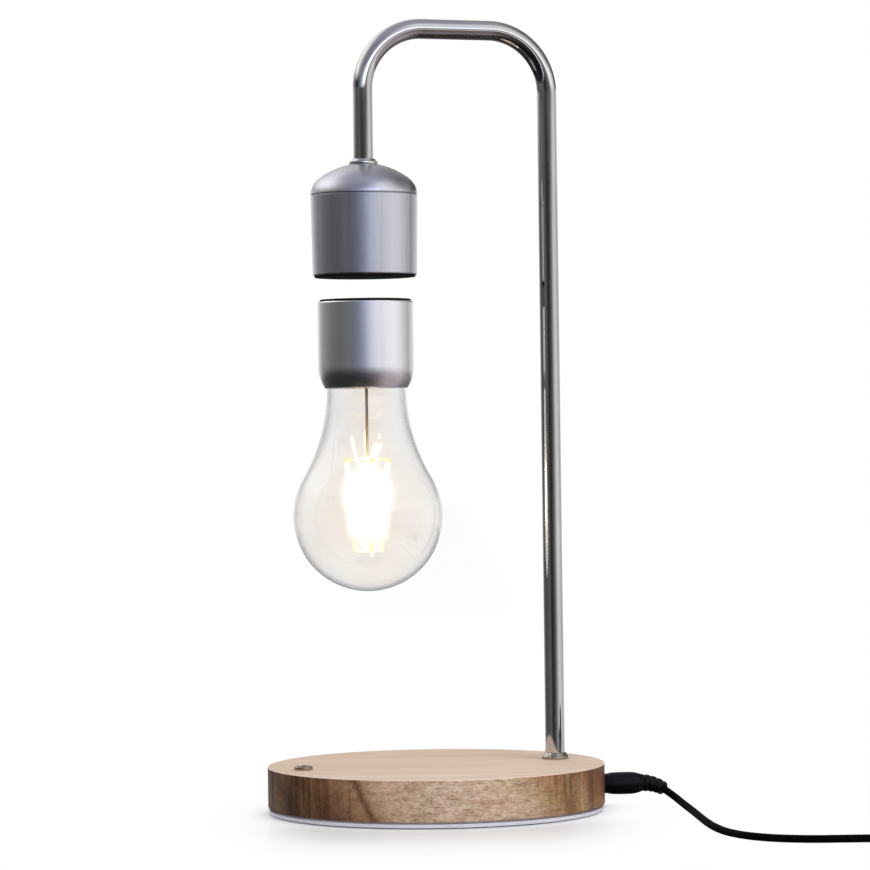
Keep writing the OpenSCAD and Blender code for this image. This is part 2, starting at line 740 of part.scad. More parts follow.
module head_dome() color("lightsteelblue") on_bulb_axis(0) difference() {
    union() {
        rotate_extrude() difference() {
            dome_section(0);
            dome_section(dome_t);
        }
        intersection() {
            rotate_extrude() dome_section(0);
            translate([0, 0, dome_boss_z]) cylinder(r = dome_boss_r, h = dome_h);
        }
        translate([0, 0, seam_z - spigot_h])
            ring(head_seat_r - seat_fit, head_seat_r - seat_fit - spigot_wall, spigot_h + dome_t);
        translate([0, 0, seam_z])
            ring(head_top_r - dome_t / 2, head_seat_r - seat_fit - spigot_wall, dome_t);
    }
    translate([0, 0, dome_flat_z]) cylinder(r = collar_d, h = dome_h);
    translate([0, 0, dome_boss_z - 1]) cylinder(d = tube_d + 2 * seat_fit, h = dome_h);
}

module head_shell() color("lightsteelblue") on_bulb_axis(head_z) difference() {
    union() {
        cylinder(r1 = head_bottom_r, r2 = head_top_r, h = head_shell_h - seam_chamfer);
        translate([0, 0, head_shell_h - seam_chamfer])
            cylinder(r1 = head_top_r, r2 = head_top_r - seam_chamfer, h = seam_chamfer);
    }
    translate([0, 0, -1]) cylinder(r = head_bore_r, h = head_shell_h + 2);
    translate([0, 0, plate_z - head_z]) cylinder(r = head_seat_r, h = head_shell_h);
}

module head_cover() color("black") on_bulb_axis(head_z) {
    cylinder(r = head_bore_r - seat_fit, h = head_cover_t);
    ring(head_bore_r - seat_fit, head_bore_r - head_rim_w, head_cover_t + head_rim_h);
}

module core_plate() color("slategray") on_bulb_axis(plate_z)
    ring(head_seat_r - seat_fit, core_screw_d / 2 + seat_fit, plate_t);

module core_screw() color("silver") on_bulb_axis(plate_z + plate_t) {
    cylinder(d = core_screw_head_d, h = core_screw_head_h);
    translate([0, 0, -plate_t - core_screw_depth]) cylinder(d = core_screw_d, h = plate_t + core_screw_depth);
}

module iron_core() color("slategray") on_bulb_axis(core_z) difference() {
    cylinder(d = core_d, h = plate_z - core_z);
    translate([0, 0, plate_z - core_z - core_screw_depth - seat_fit])
        cylinder(d = core_screw_d + 2 * thread_fit, h = core_screw_depth + 1);
}

bobbin_hub_r = core_d / 2 + seat_fit + bobbin_wall;
module coil_bobbin() color("ivory") on_bulb_axis(bobbin_z) difference() {
    union() {
        cylinder(r = bobbin_hub_r, h = bobbin_top - bobbin_z);
        cylinder(d = bobbin_d, h = bobbin_wall);
        translate([0, 0, bobbin_top - bobbin_z - bobbin_wall]) cylinder(d = bobbin_d, h = bobbin_wall);
    }
    translate([0, 0, -1]) cylinder(r = core_d / 2 + seat_fit, h = head_shell_h);
}

module coil_winding() color("peru") on_bulb_axis(bobbin_z + bobbin_wall + seat_fit)
    ring(bobbin_hub_r + seat_fit + winding_t, bobbin_hub_r + seat_fit,
         bobbin_top - bobbin_z - 2 * bobbin_wall - 2 * seat_fit);

module sensor_board() color("darkgreen") on_bulb_axis(sensor_z)
    cylinder(r = head_bore_r - 4 * seat_fit, h = disc_board_t);

sensor_size = [4, 3, 1.6];
module hall_sensor() color("black") on_bulb_axis(sensor_z - sensor_size.z)
    translate([-sensor_size.x / 2, -sensor_size.y / 2, 0]) cube(sensor_size);

transmit_coil_wall = 7;
transmit_coil_r = head_bore_r - head_rim_w - free_gap;
module transmit_coil() color("peru") on_bulb_axis(head_floor_z)
    ring(transmit_coil_r, transmit_coil_r - transmit_coil_wall, flat_coil_t);

// Floating bulb

module bulb_cap() color("lightsteelblue") on_bulb_axis(0) difference() {
    rotate_extrude() {
        translate([0, cap_z + cap_round_h]) square([cap_r, cap_h - cap_round_h - cap_bevel]);
        polygon([[0, cap_top - cap_bevel], [cap_r, cap_top - cap_bevel], [lid_r, cap_top], [0, cap_top]]);
        intersection() {
            translate([cap_r - cap_round_r, cap_z + cap_round_h]) circle(r = cap_round_r);
            translate([cap_r - cap_round_r, cap_z]) square([cap_round_r, cap_round_h]);
        }
    }
    translate([0, 0, cap_z - 1]) cylinder(r = neck_r + seat_fit, h = cap_h + 2);
    translate([0, 0, cap_ledge_z]) cylinder(r = cap_bore_r, h = cap_h);
}

module cap_lid() color("black") on_bulb_axis(0) {
    translate([0, 0, cap_top]) cylinder(r = lid_r, h = lid_rise);
    translate([0, 0, lid_spigot_z]) cylinder(r = cap_bore_r - seat_fit, h = lid_spigot_h);
}

module bulb_magnet() color("silver") on_bulb_axis(magnet_z) cylinder(d = magnet_d, h = magnet_h);

receive_coil_wall = 6;
module receive_coil() color("peru") on_bulb_axis(lid_spigot_z - flat_coil_t)
    ring(flat_coil_bore + receive_coil_wall, flat_coil_bore, flat_coil_t);

module bulb_board() color("darkgreen") on_bulb_axis(cap_ledge_z)
    cylinder(r = cap_bore_r - seat_fit, h = disc_board_t);

module bulb_glass() color("aliceblue", 0.35) on_bulb_axis(0) rotate_extrude() difference() {
    glass_section(0, neck_top);
    glass_section(glass_t, neck_top + 1);
}

stem_tube_d = 5;
stem_tube_len = 3;
module glass_stem() color("aliceblue", 0.35) on_bulb_axis(0) difference() {
    union() {
        translate([0, 0, neck_top - stem_disc_h])
            cylinder(r = neck_r - glass_t - seat_fit, h = stem_disc_h);
        translate([0, 0, neck_top - stem_disc_h - stem_tube_len])
            cylinder(d = stem_tube_d, h = stem_tube_len + eps);
    }
    translate([0, 0, neck_z - neck_len]) cylinder(d = rod_d + 2 * thread_fit, h = 3 * neck_len);
}

// The rod runs from the bulb's board down past the lower star
star_top_z = glass_z + filament_top_z;
star_bottom_z = glass_z - filament_bottom_z;
module filament_rod() color("darkgoldenrod") on_bulb_axis(star_bottom_z - star_wire_d)
    cylinder(d = rod_d, h = cap_ledge_z - star_bottom_z + star_wire_d);

// One arm of wire for each filament, out of a hub on the rod
module star(r, z) {
    translate([0, 0, z - star_wire_d]) difference() {
        union() {
            cylinder(d = rod_d + 2, h = 2 * star_wire_d);
            around(filament_count, 0, star_angle) translate([0, 0, star_wire_d]) rotate([0, 90, 0])
                cylinder(d = star_wire_d, h = r + star_wire_d);
        }
        translate([0, 0, -1]) cylinder(d = rod_d + 2 * thread_fit, h = 2 * star_wire_d + 2);
    }
}
star_angle = -5;
module filament_stars() color("gold") on_bulb_axis(0) {
    star(filament_top_r, star_top_z + star_wire_d / 2);
    star(filament_bottom_r, star_bottom_z - star_wire_d / 2);
}

filament_drop = filament_top_z + filament_bottom_z;
filament_lean = atan((filament_top_r - filament_bottom_r) / filament_drop);
module led_filaments() color("lightyellow") on_bulb_axis(0) intersection() {
    around(filament_count, filament_bottom_r, star_angle) translate([0, 0, star_bottom_z])
        rotate([0, filament_lean, 0])
        translate([0, 0, -filament_d]) cylinder(d = filament_d, h = filament_drop + 3 * filament_d);
    translate([0, 0, star_bottom_z]) cylinder(r = 2 * filament_top_r, h = filament_drop);
}

// Plug and cord

module plug_body() color("black") along_jack(plug_front) difference() {
    union() {
        cylinder(d = plug_neck_d, h = plug_neck_len);
        translate([0, 0, plug_neck_len])
            cylinder(d1 = plug_d - 2 * plug_chamfer, d2 = plug_d, h = plug_chamfer);
        translate([0, 0, plug_neck_len + plug_chamfer]) cylinder(d = plug_d, h = plug_len - 2 * plug_chamfer);
        translate([0, 0, plug_neck_len + plug_len - plug_chamfer])
            cylinder(d1 = plug_d, d2 = boot_d1, h = plug_chamfer);
    }
    translate([0, 0, -1]) cylinder(d = barrel_d + 2 * thread_fit, h = barrel_hold + 1);
}
barrel_hold = 4;

module plug_barrel() color("silver") along_jack(plug_front - barrel_len)
    ring(barrel_d / 2, jack_pin_d / 2 + slide_fit, barrel_len + barrel_hold);

// Short discs along the bend, every second one a groove
boot_groove = 0.5;
boot_steps = 2 * boot_ribs - 1;
boot_step = boot_turn / boot_steps;
module plug_boot() color("black") difference() {
    union() {
        for (i = [0:boot_steps - 1]) {
            a = boot_step * i;
            h = boot_heading(a + boot_step / 2);
            d = boot_d1 + (boot_d2 - boot_d1) * i / (boot_steps - 1) - (i % 2) * 2 * boot_groove;
            translate(boot_point(a + boot_step / 2)) rotate([0, acos(h.z), atan2(h.y, h.x)])
                cylinder(d = d, h = 1.35 * boot_len / boot_steps, center = true);
        }
    }
    half_space(boot_base, -plug_out);
    half_space(boot_point(boot_turn), boot_heading(boot_turn));
}

// Everything on one side of a plane, near it
module half_space(at, out) {
    translate(at) rotate([0, acos(out.z), atan2(out.y, out.x)]) cylinder(r = plug_d, h = plug_d);
}

module cord_run() color("black") swept_tube(cord_route, cord_d, cord_sides);

module cord_coil() color("black") {
    echo(coil_gap = min(turn_gaps(coil_path, coil_lag)) - cord_d);
    swept_tube(coil_path, cord_d, coil_sides);
}

module cord_tail() color("black") swept_tube(tail_path, cord_d, cord_sides);

module coil_tie() color("dimgray") translate([coil_centre.x, coil_centre.y, 0]) rotate(tie_angle)
    difference() {
        translate([tie_in - tie_t, -tie_w / 2, tie_z - tie_t])
            cube([tie_out - tie_in + 2 * tie_t, tie_w, tie_top - tie_z + 2 * tie_t]);
        translate([tie_in, -tie_w, tie_z]) cube([tie_out - tie_in, 2 * tie_w, tie_top - tie_z]);
    }

// Wall adapter

// The way on from the coil's end, with X along it
module after_coil(s, z) {
    translate([coil_exit.x, coil_exit.y, z]) rotate(exit_heading) translate([s, 0, 0]) children();
}

module adapter_boot() color("black") after_coil(tail_len, coil_exit.z) rotate([0, 90, 0])
    cylinder(d1 = adapter_boot_d1, d2 = adapter_boot_d2, h = adapter_boot_len);

module adapter_outline(inset) {
    w = adapter_w / 2 - adapter_round;
    hull_x = adapter_len - 2 * adapter_round;
    translate([adapter_round, -w]) square([hull_x, 2 * w]);
    translate([inset, -w]) square([adapter_len - 2 * inset, 2 * w]);
    translate([adapter_round, inset - adapter_w / 2]) square([hull_x, adapter_w - 2 * inset]);
    for (x = [adapter_round, adapter_len - adapter_round], y = [-w, w])
        translate([x, y]) circle(r = adapter_round - inset);
}

module adapter_case() color("black") after_coil(adapter_start, 0) {
    linear_extrude(adapter_split) adapter_outline(0);
}

module adapter_lid() color("black") after_coil(adapter_start, adapter_split) {
    linear_extrude(adapter_seam) adapter_outline(adapter_seam);
    translate([0, 0, adapter_seam])
        linear_extrude(adapter_h - adapter_split - adapter_seam) adapter_outline(0);
}

module mains_pins() color("silver") after_coil(adapter_start + adapter_len, coil_exit.z)
    for (y = [-1, 1]) translate([0, y * mains_pin_gap / 2, 0]) rotate([0, 90, 0])
        cylinder(d = mains_pin_d, h = mains_pin_len);

base_block();
base_cover();
foot_pads();
cover_screws();
control_board();
board_standoffs();
board_screws();
board_parts();
arm_socket();
dc_jack();
jack_pin();
push_switch();
button_bezel();
bezel_nut();
button_spring();
button_cap();
arm_tube();
post_ring();
post_washer();
post_nut();
arm_cable();
head_collar();
collar_nut();
head_dome();
head_shell();
head_cover();
core_plate();
core_screw();
iron_core();
coil_bobbin();
coil_winding();
sensor_board();
hall_sensor();
transmit_coil();
bulb_cap();
cap_lid();
bulb_magnet();
receive_coil();
bulb_board();
bulb_glass();
glass_stem();
filament_rod();
filament_stars();
led_filaments();
plug_body();
plug_barrel();
plug_boot();
cord_run();
cord_coil();
coil_tie();
cord_tail();
adapter_boot();
adapter_case();
adapter_lid();
mains_pins();
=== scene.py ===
import json
import math

import bmesh
import bpy
from mathutils import Matrix, Vector

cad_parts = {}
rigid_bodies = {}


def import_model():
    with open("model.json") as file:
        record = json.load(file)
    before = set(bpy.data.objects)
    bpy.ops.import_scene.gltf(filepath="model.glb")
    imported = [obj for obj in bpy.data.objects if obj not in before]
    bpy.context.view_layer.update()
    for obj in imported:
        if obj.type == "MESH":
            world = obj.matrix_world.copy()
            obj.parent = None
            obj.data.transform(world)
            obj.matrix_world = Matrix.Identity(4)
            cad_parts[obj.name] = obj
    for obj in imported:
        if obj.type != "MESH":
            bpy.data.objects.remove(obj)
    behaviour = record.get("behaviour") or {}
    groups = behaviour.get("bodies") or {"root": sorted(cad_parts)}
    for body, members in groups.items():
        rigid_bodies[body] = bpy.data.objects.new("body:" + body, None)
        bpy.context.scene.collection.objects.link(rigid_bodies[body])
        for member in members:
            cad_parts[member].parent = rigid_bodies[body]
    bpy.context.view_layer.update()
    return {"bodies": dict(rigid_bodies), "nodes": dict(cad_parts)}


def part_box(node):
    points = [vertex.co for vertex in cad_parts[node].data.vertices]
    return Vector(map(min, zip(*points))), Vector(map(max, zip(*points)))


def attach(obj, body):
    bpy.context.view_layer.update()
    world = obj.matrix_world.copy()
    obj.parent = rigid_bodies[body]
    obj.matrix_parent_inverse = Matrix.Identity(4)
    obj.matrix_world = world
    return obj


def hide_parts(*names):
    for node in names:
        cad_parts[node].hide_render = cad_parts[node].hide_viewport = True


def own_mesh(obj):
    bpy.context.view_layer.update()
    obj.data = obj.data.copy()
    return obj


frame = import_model()
scene = bpy.context.scene
scene.view_settings.view_transform = "Standard"
mm = 0.001
weld = 1e-6  # points closer than this, in metres, are one


def lowOf(node):
    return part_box(node)[0].z / mm


def topOf(node):
    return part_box(node)[1].z / mm


def middleX(node):
    low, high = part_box(node)
    return (low.x + high.x) / 2 / mm


bulbX = middleX("head_shell")  # axis of the head and the bulb
postX = middleX("post_ring")
buttonX = middleX("button_cap")
baseTop = topOf("base_block")
print("frame loaded, bulb axis at", round(bulbX, 2), "post at", round(postX, 2))


# camera, level and far away as in the photo
photoView = {"azimuth": -19.0, "distance": 1434.0, "height": 151.9, "aside": 1.29, "roll": -0.75,
             "lens": 146.8, "sensor": 36.0, "farthest": 20.0}


def rotated(degrees, axis):
    return Matrix.Rotation(math.radians(degrees), 4, axis)


def moved(x, y, z):
    return Matrix.Translation(Vector((x, y, z)) * mm)


def addObject(name, data):
    made = bpy.data.objects.new(name, data)
    scene.collection.objects.link(made)
    return made


def makeCamera(view):
    data = bpy.data.cameras.new("photoCamera")
    data.lens = view["lens"]
    data.sensor_width = view["sensor"]
    data.clip_end = view["farthest"]
    camera = addObject("photoCamera", data)
    place = rotated(view["azimuth"], "Z") @ moved(view["aside"], -view["distance"], view["height"])
    camera.matrix_world = place @ rotated(90, "X") @ rotated(view["roll"], "Z")
    scene.camera = camera


makeCamera(photoView)
print("camera placed")


# small tools for meshes, all sizes in millimetres
def addTurned(bm, profile, x, y, sides):
    verts = [bm.verts.new(((x + r) * mm, y * mm, z * mm)) for r, z in profile]
    edges = [bm.edges.new(pair) for pair in zip(verts, verts[1:])]
    bmesh.ops.spin(bm, geom=verts + edges, cent=(x * mm, y * mm, 0), axis=(0, 0, 1),
                   angle=math.tau, steps=sides, use_merge=True)
    bmesh.ops.remove_doubles(bm, verts=bm.verts[:], dist=weld)


def arc(middleR, middleZ, radius, startAngle, endAngle, steps):
    points = []
    for i in range(steps + 1):
        a = math.radians(startAngle + (endAngle - startAngle) * i / steps)
        points.append((middleR + radius * math.cos(a), middleZ + radius * math.sin(a)))
    return points


# a stepped outline, across to the next radius at each level
def stairs(radii, levels):
    return [(r, z) for k, z in enumerate(levels) for r in radii[k:k + 2]]


def headed(angle):
    return Vector((math.cos(angle), math.sin(angle), 0))


def bevel(bm, geom, width, segments, affect="EDGES", clamp=False):
    bmesh.ops.bevel(bm, geom=geom, offset=width * mm, segments=segments, profile=0.5, affect=affect,
                    material=-1, clamp_overlap=clamp)


def softenEdges(bm, width, segments, limit):
    sharp = [e for e in bm.edges
             if len(e.link_faces) == 2 and e.calc_face_angle(0) > math.radians(limit)]
    bevel(bm, sharp, width, segments, clamp=True)


def placeAll(bm, matrix):
    bmesh.ops.transform(bm, matrix=matrix, verts=bm.verts[:])


def closeEnds(bm):
    bmesh.ops.holes_fill(bm, edges=[e for e in bm.edges if len(e.link_faces) == 1], sides=0)


def addPart(bm, part):
    kept = bpy.data.meshes.new("part")
    part.to_mesh(kept)
    part.free()
    bm.from_mesh(kept)
    bpy.data.meshes.remove(kept)


def addPeg(bm, radius, length, matrix, sides=48):
    made = bmesh.ops.create_cone(bm, cap_ends=True, segments=sides, radius1=radius * mm,
                                 radius2=radius * mm, depth=length * mm)
    bmesh.ops.transform(bm, matrix=matrix, verts=made["verts"])


def along(way):
    return way.to_track_quat("Z", "Y").to_matrix().to_4x4()


def barBetween(bm, start, end, radius, sides):
    way = end - start
    addPeg(bm, radius, way.length, moved(*(start + end) / 2) @ along(way), sides)


def meshOf(name, bm):
    bmesh.ops.recalc_face_normals(bm, faces=bm.faces[:])
    mesh = bpy.data.meshes.new(name)
    bm.to_mesh(mesh)
    bm.free()
    return mesh


# look: the body it rides on, its material, the node it stands for and its slot
def makePiece(name, bm, look, sharp=35):
    body, material, node, slot = look
    mesh = meshOf(name, bm)
    mesh.shade_smooth()
    mesh.set_sharp_from_angle(angle=math.radians(sharp))
    mesh.materials.append(material)
    piece = addObject(name, mesh)
    weights = piece.modifiers.new("evenShading", "WEIGHTED_NORMAL")
    weights.keep_sharp = True
    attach(piece, body)
    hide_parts(node)
    return piece


# shape: the piece's dictionary, with its sides and the width, segments and least angle of a soft edge
def makeTurned(name, profile, look, shape, x=0.0, place=None, sharp=35):
    bm = bmesh.new()
    addTurned(bm, profile, x, 0, shape["sides"])
    if "edge" in shape:
        softenEdges(bm, *shape["edge"])
    if place:
        placeAll(bm, place)
    return makePiece(name, bm, look, sharp)


def cutAway(piece, cutterMesh):
    cutter = addObject("cutter", meshOf("cutter", cutterMesh))
    holes = piece.modifiers.new("holes", "BOOLEAN")
    holes.operation = "DIFFERENCE"
    holes.solver = "EXACT"
    holes.object = cutter
    bpy.context.view_layer.objects.active = piece
    bpy.ops.object.modifier_move_to_index(modifier="holes", index=0)
    bpy.ops.object.modifier_apply(modifier="holes")
    bpy.data.objects.remove(cutter)


# small tools for materials
def paint(red, green, blue):
    linear = []
    for level in (red, green, blue):
        c = level / 255
        linear.append(c / 12.92 if c <= 0.04045 else ((c + 0.055) / 1.055) ** 2.4)
    return (*linear, 1.0)


def grey(level):
    return (level, level, level, 1.0)


class Nodes:
    def __init__(self, tree):
        self.tree = tree

    def link(self, value, socket):
        if isinstance(value, (int, float, tuple)):
            socket.default_value = value
        else:
            self.tree.links.new(value, socket)

    def add(self, kind, sockets=None, **settings):
        node = self.tree.nodes.new("ShaderNode" + kind)
        for key, value in settings.items():
            setattr(node, key, value)
        for socket, value in (sockets or {}).items():
            self.link(value, node.inputs[socket])
        return node

    def place(self, scale=(1, 1, 1), turn=0.0, tip=0.0):
        vector = self.add("TexCoord").outputs["Object"]
        for angle in ((0, 0, math.radians(turn)), (0, math.radians(tip), 0)):
            if any(angle):
                vector = self.add("Mapping", {"Vector": vector, "Rotation": angle}).outputs["Vector"]
        return self.add("Mapping", {"Vector": vector, "Scale": scale}).outputs["Vector"]

    def parts(self, vector):
        return self.add("SeparateXYZ", {0: vector}).outputs

    def noise(self, vector, scale=1.0, detail=4.0, rough=0.55, twist=0.0):
        sockets = {"Vector": vector, "Scale": scale, "Detail": detail, "Roughness": rough,
                   "Distortion": twist}
        return self.add("TexNoise", sockets).outputs["Fac"]

    # stops: place and grey level, or place and colour
    def ramp(self, value, stops):
        node = self.add("ValToRGB", {"Fac": value})
        elements = node.color_ramp.elements
        while len(elements) < len(stops):
            elements.new(0.5)
        for element, (place, colour) in zip(elements, stops):
            element.position = place
            element.color = (*colour, 1.0)[:4] if isinstance(colour, tuple) else grey(colour)
        return node.outputs["Color"]

    # stops: place, red, green and blue, as a paint has them
    def shades(self, value, *stops):
        return self.ramp(value, [(place, paint(*colour)) for place, *colour in stops])

    def mix(self, factor, first, second, blend="MIX"):
        sockets = {0: factor, 6: first, 7: second}
        return self.add("Mix", sockets, data_type="RGBA", blend_type=blend).outputs[2]

    def math(self, operation, first, second=0.0):
        return self.add("Math", {0: first, 1: second}, operation=operation).outputs[0]

    def vectors(self, operation, first, second=(0, 0, 0)):
        return self.add("VectorMath", {0: first, 1: second}, operation=operation).outputs

    def spread(self, value, low, high):
        return self.add("MapRange", {"Value": value, "To Min": low, "To Max": high}).outputs["Result"]

    def share(self, value, low, high):
        return self.add("MapRange", {"Value": value, "From Min": low, "From Max": high}).outputs["Result"]

    def mixShaders(self, factor, first, second):
        return self.add("MixShader", {0: factor, 1: first, 2: second}).outputs[0]


class Finish(Nodes):
    def __init__(self, name, **sockets):
        self.material = bpy.data.materials.new(name)
        self.material.use_nodes = True
        super().__init__(self.material.node_tree)
        self.shader = self.tree.nodes["Principled BSDF"]
        self.set(**sockets)

    def set(self, **sockets):
        for socket, value in sockets.items():
            self.link(value, self.shader.inputs[socket.replace("_", " ")])

    # colour between two paints, and roughness between two levels
    def tones(self, cloud, dark, light, grain, smooth, rough):
        self.set(Base_Color=self.shades(cloud, (0.3, *dark), (0.7, *light)),
                 Roughness=self.spread(grain, smooth, rough))

    def bump(self, height, depth, strength):
        sockets = {"Height": height, "Distance": depth * mm, "Strength": strength}
        self.set(Normal=self.add("Bump", sockets).outputs["Normal"])


# wood of the base: straight grain on top, a dark heart at one end of the side
grainTurn = -photoView["azimuth"]  # the grain runs across the photo's view
sideGrain = {"slant": 0.53, "wander": 0.0024, "from": -0.0644, "to": 0.0756, "rimLow": 0.018,
             "rimTop": 0.019}  # places in metres


def makeWood(s):
    f = Finish("oakBlock", Specular_IOR_Level=0.3)

    def grain(stretch, detail, rough=0.55, twist=0.0, tip=0.0):
        return f.noise(f.place(stretch, grainTurn, tip), 1.0, detail, rough, twist)

    def stain(under, where, depth, outlineShade):
        return f.mix(where, under, f.mix(depth, under, outlineShade, "MULTIPLY"))

    parts = f.parts(f.place(turn=grainTurn))
    # top: fine lines along the grain under broad paler bands
    lines = grain((9, 520, 60), 6.0, 0.65, 0.3)
    top = f.shades(lines, (0.28, 184, 161, 140), (0.5, 208, 187, 169), (0.72, 222, 204, 188))
    bands = f.shades(grain((4, 70, 20), 3.0, 0.5, 0.5), (0.3, 234, 226, 214), (0.68, 255, 254, 252))
    top = f.mix(0.8, top, bands, "MULTIPLY")
    # side: a slanted dark line parts the heart from the paler wood
    place = f.math("ADD", parts["X"], f.math("MULTIPLY", parts["Z"], s["slant"]))
    wander = f.spread(grain((90, 90, 90), 3.0), -s["wander"], s["wander"])
    across = f.share(f.math("ADD", place, wander), s["from"], s["to"])
    side = f.shades(
        across, (0.03, 114, 90, 66), (0.07, 92, 66, 43), (0.11, 120, 90, 63), (0.16, 118, 83, 56),
        (0.21, 142, 106, 79), (0.281, 158, 123, 95), (0.297, 104, 72, 49), (0.317, 156, 126, 100),
        (0.365, 194, 167, 148), (0.5, 206, 186, 172), (0.72, 205, 181, 166), (0.8, 182, 154, 124),
        (0.86, 176, 139, 106), (0.9, 190, 162, 128), (0.945, 158, 114, 79), (0.985, 118, 78, 50))
    # end grain stands upright at both ends
    atEnds = f.ramp(across, [(0.18, 1.0), (0.31, 0.1), (0.76, 0.0), (0.86, 0.9)])
    streaks = f.shades(grain((230, 230, 11), 6.0, 0.75, 0.25, tip=3), (0.34, 150, 134, 118),
                       (0.47, 226, 219, 212), (0.57, 252, 248, 242), (0.68, 255, 255, 250))
    side = stain(side, atEnds, 1.0, streaks)
    atHeart = f.ramp(across, [(0.2, 1.0), (0.3, 0.0), (0.8, 0.0), (0.88, 0.75)])
    bars = f.shades(grain((170, 170, 5), 2.0, 0.5, tip=2), (0.38, 196, 182, 168), (0.5, 240, 235, 228),
                    (0.6, 255, 255, 252))
    side = stain(side, atHeart, 1.0, bars)
    # curly short grain beside the dark line, long level grain after it
    afterLine = f.ramp(across, [(0.15, 0.2), (0.24, 0.6), (0.46, 0.7), (0.58, 0.2)])
    curl = f.shades(grain((330, 330, 760), 4.0, 0.65, 2.2, tip=-30), (0.36, 170, 152, 134),
                    (0.48, 246, 242, 237), (0.62, 255, 255, 254))
    side = stain(side, afterLine, 1.0, curl)
    inLong = f.ramp(across, [(0.3, 0.2), (0.45, 1.0), (0.8, 1.0), (0.9, 0.35)])
    waves = grain((130, 130, 680), 5.0, 0.62, 2.4)
    waveTint = f.shades(waves, (0.34, 184, 167, 150), (0.47, 246, 243, 238), (0.7, 255, 255, 254))
    side = stain(side, inLong, 0.9, waveTint)
    # long lens shapes, as contours of a slow noise
    lenses = f.shades(grain((24, 24, 300), 2.0, 0.5, 0.8), (0.43, 255, 255, 255), (0.465, 226, 210, 190),
                      (0.5, 255, 255, 255), (0.56, 255, 255, 255), (0.585, 230, 217, 200),
                      (0.62, 255, 255, 255))
    side = stain(side, inLong, 0.8, lenses)
    mottle = f.shades(grain((420, 420, 520), 4.0, 0.7), (0.34, 190, 178, 166), (0.56, 255, 255, 255))
    side = f.mix(0.7, side, mottle, "MULTIPLY")
    patches = f.shades(grain((70, 70, 150), 3.0, 0.6, 0.8), (0.36, 250, 255, 236), (0.5, 255, 253, 250),
                       (0.64, 255, 246, 240))
    side = f.mix(0.8, side, patches, "MULTIPLY")
    # the rim is painted pale: partly rubbed wear, partly a painted highlight along the top edge
    height = f.share(parts["Z"], s["rimLow"], s["rimTop"])
    side = f.mix(f.ramp(height, [(0.55, 0.0), (0.8, 0.85)]), side, paint(233, 214, 198))
    onTop = f.ramp(height, [(0.93, 0.0), (0.99, 1.0)])
    f.set(Base_Color=f.mix(onTop, side, top), Roughness=f.spread(lines, 0.45, 0.65))
    f.bump(f.mix(onTop, waves, lines), 0.12, 0.35)
    return f.material


# polished tube with faint drawing lines
def makeChrome():
    f = Finish("chromePlate", Metallic=1.0)
    haze = f.noise(f.place((120, 120, 30)))
    f.tones(haze, (200, 199, 198), (212, 211, 210), haze, 0.02, 0.1)
    f.bump(f.noise(f.place((900, 900, 60)), 1.0, 2.0), 0.004, 0.4)
    return f.material


# satin aluminium, turned on a lathe and brushed along the axis
def makeSatin(name, dark, light, rough):
    f = Finish(name, Metallic=1.0, Anisotropic=0.4, Anisotropic_Rotation=0.25)
    lines = f.noise(f.place((2400, 2400, 25)), 1.0, 4.0, 0.6)
    broad = f.noise(f.place((620, 620, 9)), 1.0, 3.0)
    f.tones(f.mix(0.5, lines, broad), dark, light, lines, rough - 0.07, rough + 0.09)
    f.bump(lines, 0.02, 0.3)
    return f.material


def makeMoulded(name, dark, light, rough, grain=900.0, depth=0.03, shine=0.5):
    f = Finish(name, IOR=1.5, Specular_IOR_Level=shine)
    specks = f.noise(f.place(), grain, 3.0)
    cloud = f.noise(f.place(), 45.0, 2.0)
    f.tones(cloud, dark, light, specks, rough - 0.06, rough + 0.08)
    f.bump(specks, depth, 0.4)
    return f.material


def makeMetal(name, dark, light, rough, grain=500.0):
    f = Finish(name, Metallic=1.0)
    marks = f.noise(f.place(), grain)
    f.tones(marks, dark, light, marks, rough - 0.05, rough + 0.1)
    f.bump(marks, 0.01, 0.3)
    return f.material


# clear glass painted darker and greyer towards its outline and at its neck: painted shade standing in for
# the dark reflections at its edges
def makeGlass():
    f = Finish("clearGlass", IOR=1.46, Roughness=0.0, Transmission_Weight=1.0)
    facing = f.add("LayerWeight", {"Blend": 0.5}).outputs["Facing"]
    outlineShade = f.shades(
        facing, (0.0, 253, 248, 240), (0.06, 253, 249, 244), (0.2, 252, 251, 249), (0.5, 251, 251, 250),
        (0.7, 242, 242, 242), (0.82, 196, 197, 199), (0.9, 134, 135, 138), (1.0, 86, 86, 90))
    atNeck = f.ramp(f.parts(f.place())["Z"], [(0.138, 0.0), (0.154, 1.0)])
    neckShade = f.shades(facing, (0.34, 249, 250, 253), (0.5, 244, 244, 243), (0.6, 224, 223, 222),
                        (0.8, 212, 211, 210))
    outlineShade = f.mix(atNeck, outlineShade, f.mix(1.0, outlineShade, neckShade, "MULTIPLY"))
    cloud = f.shades(f.noise(f.place(), 38.0, 3.0), (0.35, 246, 242, 240), (0.65, 255, 255, 255))
    f.set(Base_Color=f.mix(0.5, outlineShade, cloud, "MULTIPLY"))
    return f.material


# lit phosphor, with dim ends where the rods are held
def makeLit():
    f = Finish("litPhosphor", Roughness=0.6, Emission_Strength=14.0)
    speck = f.noise(f.place(), 900.0, 2.0)
    lit = f.ramp(speck, [(0.2, (1.0, 0.78, 0.36)), (0.8, (1.0, 0.86, 0.5))])
    low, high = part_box("led_filaments")
    height = f.share(f.parts(f.place())["Z"], low.z, high.z)
    ends = f.ramp(height, [(0.06, 0.035), (0.13, 0.05), (0.25, 1.0), (0.9, 1.0), (0.97, 0.06)])
    f.set(Base_Color=f.shades(speck, (0.3, 250, 236, 192), (0.7, 252, 244, 214)),
          Emission_Color=f.mix(1.0, lit, ends, "MULTIPLY"))
    return f.material
